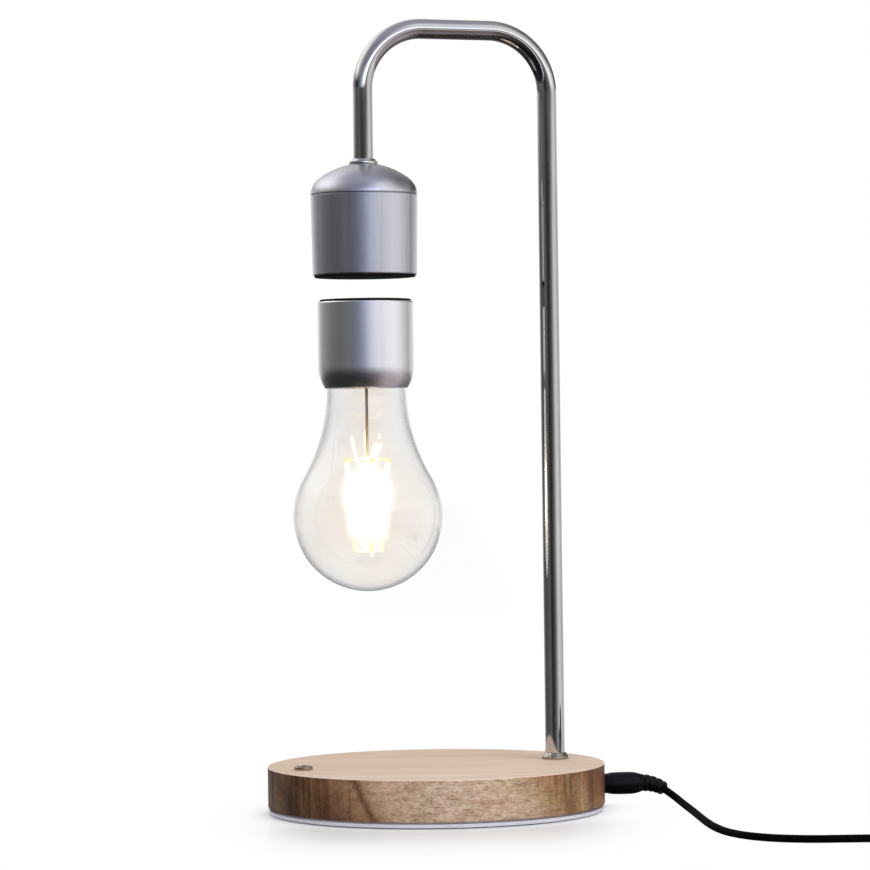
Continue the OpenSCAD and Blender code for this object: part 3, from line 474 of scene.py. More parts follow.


# filament wires with a painted glow, washed out where they stand in the light of the lit rods
def makeWireWithPaintedGlow(name, dark, light, measure, reach, glow):
    f = Finish(name, Metallic=0.6, Emission_Strength=2.0)
    marks = f.noise(f.place(), 1500.0)
    fromAxis = f.vectors("SUBTRACT", f.place(), (bulbX * mm, 0, 0))["Vector"]
    size = f.vectors("LENGTH", f.vectors("MULTIPLY", fromAxis, measure)["Vector"])["Value"]
    f.tones(marks, dark, light, marks, 0.3, 0.45)
    f.set(Emission_Color=f.ramp(f.share(size, reach[0] * mm, reach[1] * mm), glow))
    return f.material


wood = makeWood(sideGrain)
chrome = makeChrome()
# the head and the cap are one satin aluminium; the cap's copy is painted lighter, a painted difference in
# the light on them
headSatin = makeSatin("headSatin", (202, 203, 210), (220, 221, 228), 0.29)
capSatinPaintedLighter = makeSatin("capSatinPaintedLighter", (242, 242, 247), (254, 254, 255), 0.3)
glass = makeGlass()
litPhosphor = makeLit()
coverPaint = makeMoulded("palePaint", (196, 195, 207), (209, 208, 218), 0.4, 700, 0.01)
padRubber = makeMoulded("padRubber", (34, 34, 35), (46, 46, 47), 0.75, 1500, 0.05)
screwSteel = makeMetal("screwSteel", (150, 150, 154), (180, 180, 184), 0.28)
boardGreen = makeMoulded("boardLacquer", (14, 74, 40), (22, 96, 54), 0.3, 300, 0.01)
brass = makeMetal("standoffBrass", (196, 158, 84), (216, 182, 108), 0.25)
partBlack = makeMoulded("partResin", (22, 22, 23), (34, 34, 36), 0.5)
nylonWhite = makeMoulded("paleNylon", (214, 212, 204), (228, 226, 218), 0.5)
nickel = makeMetal("nickelPlate", (196, 194, 186), (214, 212, 206), 0.16)
lidBlack = makeMoulded("blackLid", (7, 7, 8), (13, 13, 14), 0.8, 1200, 0.02, 0.15)
coreIron = makeMetal("coreIron", (92, 92, 95), (112, 112, 116), 0.45)
copper = makeMetal("enamelledWire", (176, 98, 58), (202, 122, 76), 0.3, 1600)
# the button's chrome is painted dark and brown: a painted reflection
buttonChromeWithPaintedReflection = makeMetal("buttonChromeWithPaintedReflection", (160, 143, 128), (178, 160, 145), 0.08, 900)
# the foot ring's chrome is painted darker and warm: a painted reflection
ringChromeWithPaintedReflection = makeMetal("ringChromeWithPaintedReflection", (168, 158, 148), (190, 180, 170), 0.07, 900)
plugRubber = makeMoulded("plugRubber", (3, 4, 6), (9, 11, 15), 0.42, 1400, 0.02, 0.22)
cordRubber = makeMoulded("cordRubber", (3, 3, 4), (8, 8, 10), 0.7, 1600, 0.02, 0.03)
adapterBlack = makeMoulded("adapterShell", (24, 24, 26), (34, 34, 36), 0.6, 1100, 0.05)
print("materials made")


# wooden block with its pocket and holes
woodBlock = {"radius": 68.0, "bottom": 2.5, "chamfer": 0.5, "pocket": 62.0, "roof": 14.0, "tubeHole": 8.2,
             "bezelHole": 6.76, "drill": 20.0, "drillAt": 16.0, "sides": 192, "edge": (0.5, 3, 60)}
jackPlace = {"angle": -14.0, "height": 9.6, "hole": 9.0, "drill": 12.0, "drillIn": 3.0}


def alongJack(outward):
    return rotated(jackPlace["angle"], "Z") @ moved(outward, 0, jackPlace["height"]) @ rotated(90, "Y")


def makeBlock(b, j):
    profile = [(0, baseTop), (b["radius"], baseTop), (b["radius"], b["bottom"] + b["chamfer"])]
    profile += stairs([b["radius"] - b["chamfer"], b["pocket"], 0], [b["bottom"], b["roof"]])
    block = makeTurned("woodenBlock", profile, ("stand", wood, "base_block", "wood"), b)
    holes = bmesh.new()
    for x, hole in ((postX, b["tubeHole"]), (buttonX, b["bezelHole"])):
        addPeg(holes, hole / 2, b["drill"], moved(x, 0, b["drillAt"]))
    addPeg(holes, j["hole"] / 2, j["drill"], alongJack(b["radius"] - j["drillIn"]))
    cutAway(block, holes)


makeBlock(woodBlock, jackPlace)


# bottom cover, pads and cross-head screws
baseCover = {"radius": 67.6, "grooveR": 66.2, "bottom": 0.4, "rim": 1.85, "floor": 1.9, "fit": 0.1,
             "sides": 192, "edge": (0.15, 2, 30)}
footPad = {"radius": 6.0, "ring": 50.0, "top": 1.0, "fit": 0.1, "recess": 1.2, "grooveOut": 4.6,
           "grooveIn": 3.4, "grooveDeep": 0.2, "slope": 0.3, "sides": 64, "edge": (0.25, 2, 60)}
coverScrew = {"head": 2.1, "shank": 1.2, "ring": 64.6, "long": 9.0, "point": 1.0, "fit": 0.05,
              "through": 4.0, "slot": 0.55, "slotLong": 2.6, "slotDeep": 0.8, "slotTurn": 20.0, "sides": 32}
screwNeck = baseCover["bottom"] + coverScrew["head"] - coverScrew["shank"]


def roundThe(ring):
    places = []
    for k in range(4):
        a = math.radians(45 + 90 * k)
        places.append((ring * math.cos(a), ring * math.sin(a)))
    return places


def addFour(bm, ring, profile, sides):
    for x, y in roundThe(ring):
        addTurned(bm, profile, x, y, sides)


def makeCover(c, p, s):
    low = c["bottom"]
    radii = [0, woodBlock["pocket"] - c["fit"], c["grooveR"], c["radius"], 0]
    profile = stairs(radii, [c["floor"], woodBlock["bottom"], c["rim"], low])
    cover = makeTurned("bottomCover", profile, ("stand", coverPaint, "base_cover", "cover_paint"), c)
    headHole = s["head"] + s["fit"]
    shankHole = s["shank"] + s["fit"]
    start = low - s["point"]
    end = low + s["through"]
    holes = bmesh.new()
    addFour(holes, s["ring"], [(0, start), (headHole, start), (headHole, low), (shankHole, screwNeck),
                               (shankHole, end), (0, end)], s["sides"])
    for x, y in roundThe(p["ring"]):
        addPeg(holes, p["radius"] + p["fit"], p["recess"], moved(x, y, low))
    cutAway(cover, holes)


def makePads(p):
    tread = [(p["grooveOut"], 0), (p["grooveOut"] - p["slope"], p["grooveDeep"]),
             (p["grooveIn"] + p["slope"], p["grooveDeep"]), (p["grooveIn"], 0), (0, 0)]
    bm = bmesh.new()
    profile = [(0, p["top"]), (p["radius"], p["top"]), (p["radius"], 0)] + tread
    addFour(bm, p["ring"], profile, p["sides"])
    softenEdges(bm, *p["edge"])
    makePiece("footPads", bm, ("stand", padRubber, "foot_pads", "pad_rubber"))


def makeScrews(s, low):
    end = low + s["long"]
    bm = bmesh.new()
    addFour(bm, s["ring"], [(0, low), (s["head"], low), (s["shank"], screwNeck),
                            (s["shank"], end - s["point"]), (0, end)], s["sides"])
    screws = makePiece("coverScrews", bm, ("stand", screwSteel, "cover_screws", "screw_steel"))
    size = Matrix.Diagonal((s["slotLong"] * mm, s["slot"] * mm, s["slotDeep"] * 2 * mm, 1))
    for turn in (s["slotTurn"], s["slotTurn"] + 90):
        slots = bmesh.new()
        for x, y in roundThe(s["ring"]):
            made = bmesh.ops.create_cube(slots, size=1.0)["verts"]
            bmesh.ops.transform(slots, matrix=moved(x, y, low) @ rotated(turn, "Z") @ size, verts=made)
        cutAway(screws, slots)


makeCover(baseCover, footPad, coverScrew)
makePads(footPad)
makeScrews(coverScrew, baseCover["bottom"])
print("base made")


# button with its bezel
bezel = {"rim": 3.8, "rise": 1.5, "sleeve": 3.28, "bore": 2.58, "floor": 11.8, "bottom": 11.0, "hole": 1.5,
         "sides": 64, "edge": (0.12, 3, 25)}
buttonCap = {"radius": 2.5, "top": 21.0, "dome": 0.9, "skirt": 15.0, "stem": 1.2, "stemEnd": 10.3,
             "sides": 64, "edge": (0.2, 3, 25)}


def makeBezel(b):
    beadR = (b["rim"] - b["bore"]) / 2
    profile = [(b["bore"], b["floor"])]
    profile += arc(b["bore"] + beadR, baseTop + b["rise"] - beadR, beadR, 180, 0, 12)
    profile += stairs([b["rim"], b["sleeve"], b["hole"], b["bore"]], [baseTop, b["bottom"], b["floor"]])
    makeTurned("buttonBezel", profile, ("stand", buttonChromeWithPaintedReflection, "button_bezel", "chrome"), b, buttonX)


def makeButton(c):
    ball = (c["radius"] ** 2 + c["dome"] ** 2) / (2 * c["dome"])
    reach = math.degrees(math.asin(c["radius"] / ball))
    profile = arc(0, c["top"] - ball, ball, 90, 90 - reach, 10)
    profile += stairs([c["radius"], c["stem"], 0], [c["skirt"], c["stemEnd"]])
    makeTurned("buttonCap", profile, ("button", buttonChromeWithPaintedReflection, "button_cap", "chrome"), c, buttonX)


makeBezel(bezel)
makeButton(buttonCap)


# swan-neck tube, drawn from the post's foot to the head
armTube = {"radius": 4.0, "foot": lowOf("arm_tube"), "top": 320.0, "bend": 25.0, "sides": 48,
           "bendSteps": 40, "legEnd": lowOf("collar_nut") - 0.8}


def growTube(bm, ring, shift):
    made = bmesh.ops.extrude_edge_only(bm, edges=ring)["geom"]
    verts = [g for g in made if isinstance(g, bmesh.types.BMVert)]
    bmesh.ops.translate(bm, verts=verts, vec=Vector(shift) * mm)
    return [e for e in bm.edges if e.verts[0] in verts and e.verts[1] in verts]


def bendTube(bm, ring, middle, steps):
    verts = list({v for e in ring for v in e.verts})
    made = bmesh.ops.spin(bm, geom=verts + ring, cent=Vector(middle) * mm, axis=(0, -1, 0),
                          angle=math.radians(90), steps=steps)["geom_last"]
    return [g for g in made if isinstance(g, bmesh.types.BMEdge)]


def makeArm(a):
    bm = bmesh.new()
    bendZ = a["top"] - a["radius"] - a["bend"]
    made = bmesh.ops.create_circle(bm, radius=a["radius"] * mm, segments=a["sides"])["verts"]
    bmesh.ops.translate(bm, verts=made, vec=Vector((postX, 0, a["foot"])) * mm)
    ring = growTube(bm, bm.edges[:], (0, 0, bendZ - a["foot"]))
    ring = bendTube(bm, ring, (postX - a["bend"], 0, bendZ), a["bendSteps"])
    ring = growTube(bm, ring, (bulbX - postX + 2 * a["bend"], 0, 0))
    ring = bendTube(bm, ring, (bulbX + a["bend"], 0, bendZ), a["bendSteps"])
    growTube(bm, ring, (0, 0, a["legEnd"] - bendZ))
    closeEnds(bm)
    makePiece("armTube", bm, ("stand", chrome, "arm_tube", "chrome"))


makeArm(armTube)

# beaded ring at the post's foot and collar on the dome; steps go outward from the bore, and up
footRing = {"radius": 5.65, "bore": 4.05, "bead": 0.75, "sides": 72, "edge": (0.12, 3, 40),
            "steps": [(1.0, 1.5), (0.7, 2.3), (0.35, 2.6), (0, 2.6)]}
headCollar = {"radius": 5.85, "bore": 4.05, "lip": 1.15, "sides": 72, "edge": (0.18, 3, 30),
              "bottom": lowOf("head_collar"), "steps": [(0.95, 1.35), (0.6, 2.2), (0, 2.2)]}


def stepsUp(ring, low):
    return [(ring["bore"] + out, low + up) for out, up in ring["steps"]] + [(ring["bore"], low)]


def makeFootRing(r):
    bead = arc(r["radius"] - r["bead"], baseTop + r["bead"], r["bead"], -90, 70, 8)
    profile = [(r["bore"], baseTop)] + bead + stepsUp(r, baseTop)
    makeTurned("footRing", profile, ("stand", ringChromeWithPaintedReflection, "post_ring", "chrome"), r, postX)


def makeCollar(c):
    low = c["bottom"]
    profile = [(c["bore"], low), (c["radius"], low), (c["radius"], low + c["lip"])] + stepsUp(c, low)
    makeTurned("headCollar", profile, ("stand", chrome, "head_collar", "chrome"), c, bulbX)


makeFootRing(footRing)
makeCollar(headCollar)
print("arm made")


# head: brushed shell and dome over a black cover
headShell = {"bottomR": 21.0, "topR": 21.5, "boreR": 19.2, "seatR": 20.0, "seatDeep": 6.0, "foot": 0.6,
             "low": lowOf("head_shell") + 0.7, "groove": 0.25, "sides": 144, "edge": (0.15, 3, 60)}
headDome = {"rise": 13.0, "shoulder": 8.5, "flatR": 5.8, "undercut": 0.6, "gap": 0.12, "boreR": 4.1,
            "fit": 0.1, "spigotR": 18.4, "spigotLong": 4.0, "hollow": [(18.4, 3.0), (12.0, 8.5)],
            "bossR": 7.0, "crownThick": 3.1, "sides": 144}
headCover = {"radius": 19.1, "thick": 1.6, "flange": 1.1, "flangeR": 20.3, "low": lowOf("head_cover"),
             "fit": 0.1, "wall": 1.6, "high": 3.7, "sides": 120, "edge": (0.25, 3, 50)}
seam = topOf("head_shell") - 0.6  # where the dome sits on the shell


def makeHeadShell(s, c):
    ledge = c["low"] + c["flange"]
    flangeHole = c["flangeR"] + c["fit"]
    profile = [(s["boreR"], ledge), (flangeHole, ledge), (flangeHole, s["low"])]
    profile += arc(s["bottomR"] - s["foot"], s["low"] + s["foot"], s["foot"], -90, 0, 5)
    profile.append((s["topR"], seam - s["groove"]))
    profile += stairs([s["topR"] - s["groove"], s["seatR"], s["boreR"]], [seam, seam - s["seatDeep"]])
    profile.append((s["boreR"], ledge))
    makeTurned("headShell", profile, ("stand", headSatin, "head_shell", "aluminium"), s, bulbX)


# a wide crown that meets a round shoulder
def makeHeadDome(d, s):
    middleR = s["topR"] - d["shoulder"]
    crown = (middleR ** 2 + d["rise"] ** 2 - d["shoulder"] ** 2) / (2 * (d["rise"] - d["shoulder"]))
    crownZ = seam + d["rise"] - crown
    meet = math.degrees(math.atan2(seam - crownZ, middleR))
    start = math.degrees(math.acos(d["flatR"] / crown))
    flatZ = crownZ + math.sqrt(crown ** 2 - d["flatR"] ** 2)
    last = math.degrees(math.asin(d["undercut"] / d["shoulder"]))
    under = flatZ - d["crownThick"]
    profile = [(d["boreR"], flatZ)] + arc(0, crownZ, crown, start, meet, 20)
    profile += arc(middleR, seam, d["shoulder"], meet, last, 24)[1:]
    profile += stairs([s["topR"] - d["undercut"], s["seatR"] - d["fit"], d["spigotR"]],
                      [seam - d["gap"], seam - d["spigotLong"]])
    profile += [(r, seam + up) for r, up in d["hollow"]]
    profile += [(d["bossR"], under), (d["boreR"], under), (d["boreR"], flatZ)]
    makeTurned("headDome", profile, ("stand", headSatin, "head_dome", "aluminium"), d, bulbX)


def makeHeadCover(c):
    radii = [0, c["flangeR"], c["radius"], c["radius"] - c["wall"], 0]
    profile = stairs(radii, [c["low"] + up for up in (0, c["flange"], c["high"], c["thick"])])
    makeTurned("headCover", profile, ("stand", lidBlack, "head_cover", "lid_black"), c, bulbX)


makeHeadShell(headShell, headCover)
makeHeadDome(headDome, headShell)
makeHeadCover(headCover)
print("head made")


# floating bulb: cap, lid, glass and stem
bulbCap = {"radius": 19.3, "low": lowOf("bulb_cap"), "top": topOf("bulb_cap") + 0.6, "roundR": 14.7,
           "roundH": 8.5, "bevel": 0.45, "boreR": 15.9, "pocketR": 17.8, "pocketH": 16.0, "sides": 144,
           "edge": (0.25, 3, 30)}
capLid = {"radius": 18.3, "top": topOf("cap_lid"), "spigotR": 17.7, "spigotH": 2.6, "sides": 120,
          "edge": (0.2, 3, 60)}
bulbGlass = {"radius": 30.0, "neck": 15.8, "rise": 52.4, "straight": 9.0, "wall": 0.8, "sides": 144,
             "low": lowOf("bulb_glass")}
glassStem = {"bore": 0.65, "fit": 0.1, "rim": 1.2, "sides": 72, "edge": (0.3, 3, 40),
             "flare": [(9.0, 2.2), (4.5, 3.4), (2.6, 5.0), (2.4, 5.8), (1.6, 6.0), (0.65, 6.0)]}


def makeBulbCap(c):
    tilt = math.degrees(math.asin(c["roundH"] / c["roundR"]))
    profile = [(c["boreR"], c["low"])]
    profile += arc(c["radius"] - c["roundR"], c["low"] + c["roundH"], c["roundR"], -tilt, 0, 14)
    profile.append((c["radius"], c["top"] - c["bevel"]))
    profile += stairs([c["radius"] - c["bevel"], c["pocketR"], c["boreR"]],
                      [c["top"], c["top"] - c["pocketH"]])
    profile.append((c["boreR"], c["low"]))
    makeTurned("bulbCap", profile, ("bulb", capSatinPaintedLighter, "bulb_cap", "aluminium"), c, bulbX)


def makeCapLid(k, seat):
    profile = stairs([0, k["radius"], k["spigotR"], 0], [k["top"], seat, seat - k["spigotH"]])
    makeTurned("capLid", profile, ("bulb", lidBlack, "cap_lid", "lid_black"), k, bulbX)


def glassLine(g, inset):
    middleZ = g["low"] + g["radius"]
    curve = (g["rise"] ** 2 - g["radius"] ** 2 + g["neck"] ** 2) / (2 * (g["radius"] - g["neck"]))
    touch = math.degrees(math.atan2(g["rise"], g["neck"] + curve))
    points = arc(0, middleZ, g["radius"] - inset, -90, touch, 60)
    points += arc(g["neck"] + curve, middleZ + g["rise"], curve + inset, 180 + touch, 180, 30)[1:]
    return points + [(g["neck"] - inset, middleZ + g["rise"] + g["straight"])]


def makeBulbGlass(g):
    profile = glassLine(g, 0) + glassLine(g, g["wall"])[::-1]
    return makeTurned("bulbGlass", profile, ("bulb", glass, "bulb_glass", "clear_glass"), g, bulbX, sharp=80)


def makeGlassStem(s, g):
    top = g["low"] + g["radius"] + g["rise"] + g["straight"]
    inner = g["neck"] - g["wall"] - s["fit"]
    profile = [(s["bore"], top), (inner, top), (inner, top - s["rim"])]
    profile += [(r, top - down) for r, down in s["flare"]] + [(s["bore"], top)]
    return makeTurned("glassStem", profile, ("bulb", glass, "glass_stem", "clear_glass"), s, bulbX, sharp=80)


makeBulbCap(bulbCap)
makeCapLid(capLid, bulbCap["top"])
for clearPiece in (makeBulbGlass(bulbGlass), makeGlassStem(glassStem, bulbGlass)):
    clearPiece.visible_shadow = False

# four lit rods between two wire stars on a central rod
filaments = {"count": 4, "turn": -5.0, "radius": 0.9, "topR": 8.5, "lowR": 5.3, "inset": 0.02,
             "sides": 24, "edge": (0.25, 3, 60), "topZ": topOf("led_filaments"),
             "lowZ": lowOf("led_filaments")}
starWire = {"radius": 0.45, "past": 0.6, "cup": 1.12, "cupOut": 1.6, "cupIn": 2.2, "cupSides": 20,
            "sides": 16, "edge": (0.15, 2, 60)}
centreRod = {"radius": 0.6, "tipR": 0.3, "taper": 0.4, "sides": 32, "top": topOf("filament_rod"),
             "low": lowOf("filament_rod")}
hotLight = (1.0, 0.98, 0.9)


def makeFilaments(f, s):
    # the star wires' golden colour is painted light from the lit rods, and they carry a painted glow near
    # the axis
    starPaintedGlow = makeWireWithPaintedGlow("starWire", (208, 176, 112), (230, 204, 148), (1, 1, 0), (0, f["topR"]),
                           [(0.4, hotLight), (0.65, (0.44, 0.38, 0.24)), (1.0, (0.34, 0.28, 0.17))])
    lit = bmesh.new()
    wire = bmesh.new()
    for k in range(f["count"]):
        outward = headed(math.radians(f["turn"] + 360 / f["count"] * k))
        top = Vector((bulbX, 0, f["topZ"] - f["inset"])) + f["topR"] * outward
        low = Vector((bulbX, 0, f["lowZ"] + f["inset"])) + f["lowR"] * outward
        barBetween(lit, low, top, f["radius"], f["sides"])
        for end, lift in ((top, s["radius"]), (low, -s["radius"])):
            up = Vector((0, 0, lift))
            tip = end + s["past"] * outward + up
            if k < f["count"] / 2:
                across = Vector((2 * bulbX - tip.x, -tip.y, tip.z))
                barBetween(wire, across, tip, s["radius"], s["sides"])
            cup = f["radius"] * s["cup"]
            barBetween(wire, end + s["cupOut"] * up, end - s["cupIn"] * up, cup, s["cupSides"])
    softenEdges(lit, *f["edge"])
    softenEdges(wire, *s["edge"])
    makePiece("ledFilaments", lit, ("bulb", litPhosphor, "led_filaments", "led_phosphor"))
    makePiece("filamentStars", wire, ("bulb", starPaintedGlow, "filament_stars", "filament_wire"))


def makeRod(r, f):
    # the centre rod carries a painted glow along its lower part
    rodPaintedGlow = makeWireWithPaintedGlow("rodWirePaintedGlow", (112, 96, 54), (140, 120, 70), (0, 0, 1),
                          (f["lowZ"], 2 * f["topZ"] - f["lowZ"]),
                          [(0.0, hotLight), (0.47, hotLight), (0.54, (0.36, 0.31, 0.18)),
                           (0.64, (0.12, 0.1, 0.05)), (0.76, 0.0)])
    profile = [(0, r["top"]), (r["radius"], r["top"]), (r["radius"], r["low"] + r["taper"]),
               (r["tipR"], r["low"]), (0, r["low"])]
    makeTurned("filamentRod", profile, ("bulb", rodPaintedGlow, "filament_rod", "filament_wire"), r, bulbX)


makeFilaments(filaments, starWire)
makeRod(centreRod, filaments)
print("bulb made")


# barrel plug with a neck that swells into a grip, and a bent ribbed boot
plug = {"front": 67.5, "neckR": 3.95, "neckLong": 2.2, "gripR": 4.5, "gripLong": 13.5, "straight": 7.0,
        "swell": [(0.1, 0), (0.6, 0.9), (0.85, 2.2), (1.0, 4.5)], "taperSteps": 12, "bore": 2.8,
        "hold": 4.0, "sides": 72, "edge": (0.3, 3, 30)}
barrel = {"radius": 2.75, "bore": 1.08, "long": 9.5, "tipIn": 0.3, "tipLong": 0.4, "sides": 48}
boot = {"startR": 3.6, "endR": 2.8, "long": 10.5, "turn": 55.0, "tilt": 60.0, "ribs": 5, "groove": 0.28,
        "ribbed": 0.93, "sleeveR": 1.8, "steepEnd": 12.0, "rings": 54, "sides": 40}
jackOut = headed(math.radians(jackPlace["angle"]))
jackAside = Vector((jackOut.y, -jackOut.x, 0))
bootTilt = math.radians(boot["tilt"])
bootDown = math.sin(bootTilt) * jackAside - Vector((0, 0, math.cos(bootTilt)))
bootBend = boot["long"] / math.radians(boot["turn"])
gripEnd = plug["neckLong"] + plug["gripLong"]
bootBase = jackOut * (plug["front"] + gripEnd) + Vector((0, 0, jackPlace["height"]))


def makePlug(p):
    grip = p["neckLong"]
    swell = p["gripR"] - p["neckR"]
    profile = [(p["bore"], 0), (p["neckR"], 0)]
    profile += [(p["neckR"] + part * swell, grip + up) for part, up in p["swell"]]
    for i in range(p["taperSteps"] + 1):
        share = i / p["taperSteps"]
        radius = p["gripR"] - (p["gripR"] - boot["startR"]) * share ** 3
        profile.append((radius, grip + p["straight"] + (p["gripLong"] - p["straight"]) * share))
    profile += [(0, gripEnd), (0, p["hold"]), (p["bore"], p["hold"]), (p["bore"], 0)]
    makeTurned("plugBody", profile, ("plug", plugRubber, "plug_body", "plug_rubber"), p,
               place=alongJack(p["front"]))


def makeBarrel(b, p):
    tip = -b["long"]
    profile = [(b["bore"], tip), (b["radius"] - b["tipIn"], tip), (b["radius"], tip + b["tipLong"]),
               (b["radius"], p["hold"]), (b["bore"], p["hold"]), (b["bore"], tip)]
    makeTurned("plugBarrel", profile, ("plug", nickel, "plug_barrel", "contact_nickel"), b,
               place=alongJack(p["front"]))


def eased(t):
    s = min(max(t, 0.0), 1.0)
    return s * s * (3 - 2 * s)


def bootPoint(angle):
    a = math.radians(angle)
    return bootBase + bootBend * (math.sin(a) * jackOut + (1 - math.cos(a)) * bootDown)


def bootWay(angle):
    a = math.radians(angle)
    return math.cos(a) * jackOut + math.sin(a) * bootDown


def bootRadius(b, share):
    onward = share / b["ribbed"]
    radius = b["startR"] + (b["endR"] - b["startR"]) * min(onward, 1.0)
    if onward < 1:
        wave = 0.5 - 0.5 * math.cos(math.tau * onward * (b["ribs"] - 1))
        radius -= b["groove"] * wave ** 3
    return radius - (b["endR"] - b["sleeveR"]) * eased((onward - 1) * b["steepEnd"])


def makeBoot(b):
    bm = bmesh.new()
    rings = []
    for i in range(b["rings"] + 1):
        share = i / b["rings"]
        angle = b["turn"] * share
        ring = bmesh.ops.create_circle(bm, radius=bootRadius(b, share) * mm, segments=b["sides"])["verts"]
        bmesh.ops.transform(bm, matrix=moved(*bootPoint(angle)) @ along(bootWay(angle)), verts=ring)
        rings.append(list({e for v in ring for e in v.link_edges}))
    for first, second in zip(rings, rings[1:]):
        bmesh.ops.bridge_loops(bm, edges=first + second)
    closeEnds(bm)
    makePiece("plugBoot", bm, ("plug", plugRubber, "plug_boot", "plug_rubber"), 60)


makePlug(plug)
makeBarrel(barrel, plug)
makeBoot(boot)


# power lead: the free run, the coil of spare cord and the tail, in one curve
lead = {"diameter": 3.0, "layers": 4, "turns": 12.25, "pitch": 3.5, "middleR": 16.6, "climb": 0.5,
        "perTurn": 24, "inBoot": 0.85, "tail": 18.0, "tailSteps": 6, "sag": 0.6, "inside": 40.0}
leadRoute = [
    (89.6, -28.7, 6.0), (90.7, -31.6, 4.65), (90.6, -38, 3.3), (88.4, -48.4, 2.75), (84.8, -64.1, 2.2),
    (80.4, -81.6, 1.8), (75.7, -100.1, 1.5), (71.7, -117.7, 1.5), (70, -130, 1.5), (70, -137.5, 1.5),
    (71, -145, 1.5), (73.5, -152, 1.5), (77.5, -158.5, 1.5), (83, -163.5, 1.5), (89.5, -167.5, 1.5),
    (96.5, -170, 1.5), (104, -172.5, 1.5), (111.5, -175, 1.5), (119, -177.5, 1.6), (126.5, -180, 1.9),
    (134, -182.5, 2.2), (141.5, -185, 2.4)]
routeEnd = Vector(leadRoute[-1])
routeWay = routeEnd - Vector(leadRoute[-2])
coilHeading = math.atan2(routeWay.y, routeWay.x)
layerTurns = lead["turns"] / lead["layers"]
coilOut = lead["middleR"] + lead["pitch"] * layerTurns / 2
coilIn = coilOut - lead["pitch"] * layerTurns
coilStart = routeEnd + lead["diameter"] * headed(coilHeading)
coilMiddle = coilStart + coilOut * headed(coilHeading + math.pi / 2)


def coilPoint(t):
    phase = t / layerTurns
    layer = min(math.floor(phase), lead["layers"] - 1)
    step = lead["pitch"] * layerTurns * (phase - layer)
    radius = coilOut - step if layer % 2 == 0 else coilIn + step
    rise = sum(eased((t - k * layerTurns) / lead["climb"] + 0.5) for k in range(1, lead["layers"]))
    around = radius * headed(coilHeading - math.pi / 2 + math.tau * t)
    return coilMiddle + around + Vector((0, 0, lead["pitch"] * rise))


exitAngle = coilHeading + math.tau * lead["turns"]
exitWay = headed(exitAngle)
coilExit = coilPoint(lead["turns"]) + lead["diameter"] * exitWay


def makeLead(c):
    points = [bootPoint(boot["turn"] * share) for share in (c["inBoot"], 1.0)]
    points += [Vector(p) for p in leadRoute]
    points += [coilPoint(i / c["perTurn"]) for i in range(round(c["turns"] * c["perTurn"]) + 1)]
    for i in range(c["tailSteps"] + 1):
        share = i / c["tailSteps"]
        dip = c["sag"] * math.sin(math.pi * share) ** 2
        points.append(coilExit + c["tail"] * share * exitWay - Vector((0, 0, dip)))
    points += [coilExit + (c["tail"] + c["inside"] * share) * exitWay for share in (0.5, 1.0)]
    curve = bpy.data.curves.new("powerLead", "CURVE")
    curve.dimensions = "3D"
    curve.bevel_depth = c["diameter"] / 2 * mm
    curve.bevel_resolution = 3
    curve.resolution_u = 3
    curve.use_fill_caps = True
    spline = curve.splines.new("BEZIER")
    spline.bezier_points.add(len(points) - 1)
    for knot, point in zip(spline.bezier_points, points):
        knot.co = point * mm
        knot.handle_left_type = "AUTO"
        knot.handle_right_type = "AUTO"
    cord = addObject("powerLead", curve)
    curve.materials.append(cordRubber)
    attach(cord, "plug")
    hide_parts("cord_run", "cord_coil", "cord_tail")
    print("lead length in mm", round(sum((b - a).length for a, b in zip(points, points[1:]))))
    return cord


powerLead = makeLead(lead)


# wall adapter with its boot and pins at the lead's far end, and the tie round the coil
adapter = {"long": 56.0, "wide": 38.0, "high": 26.0, "corner": 5.0, "split": 15.6, "seam": 0.5,
           "edge": 1.6}
adapterBoot = {"long": 12.0, "startR": 2.5, "endR": 4.0, "ribs": 4, "groove": 0.4, "steps": 24,
               "sides": 48}
pins = {"radius": 2.0, "long": 19.0, "gap": 19.0, "sides": 40}
tie = {"wide": 8.0, "thick": 0.6, "slack": 1.3, "clear": 0.3, "corner": 1.6, "edge": (0.15, 2, 60)}
afterCoil = moved(coilExit.x, coilExit.y, 0) @ Matrix.Rotation(exitAngle, 4, "Z")
adapterStart = lead["tail"] + adapterBoot["long"]
adapterEnd = adapterStart + adapter["long"]


# corners are rounded upright, and then the rim at one level
def addBlock(bm, low, high, corner, edge, rimLevel):
    middle = [(a + b) / 2 for a, b in zip(low, high)]
    size = [(b - a) * mm for a, b in zip(low, high)]
    part = bmesh.new()
    bmesh.ops.create_cube(part, size=1.0)
    placeAll(part, moved(*middle) @ Matrix.Diagonal((*size, 1)))
    upright = [e for e in part.edges if abs(e.verts[0].co.z - e.verts[1].co.z) > weld]
    bevel(part, upright, corner, 8)
    if edge:
        rim = [e for e in part.edges if all(abs(v.co.z - rimLevel * mm) < weld for v in e.verts)]
        bevel(part, rim, edge, 4)
    addPart(bm, part)


def makeCase(a):
    half = a["wide"] / 2
    bm = bmesh.new()
    addBlock(bm, (adapterStart, -half, 0), (adapterEnd, half, a["split"]), a["corner"], a["edge"], 0)
    placeAll(bm, afterCoil)
    return makePiece("adapterCase", bm, ("plug", adapterBlack, "adapter_case", "adapter_black"))


def makeLid(a):
    half = a["wide"] / 2
    inset = a["seam"]
    low = a["split"]
    high = a["high"]
    bm = bmesh.new()
    addBlock(bm, (adapterStart + inset, inset - half, low), (adapterEnd - inset, half - inset, low + inset),
             a["corner"] - inset, 0, low)
    addBlock(bm, (adapterStart, -half, low + inset), (adapterEnd, half, high), a["corner"], a["edge"], high)
    placeAll(bm, afterCoil)
    return makePiece("adapterLid", bm, ("plug", adapterBlack, "adapter_lid", "adapter_black"))


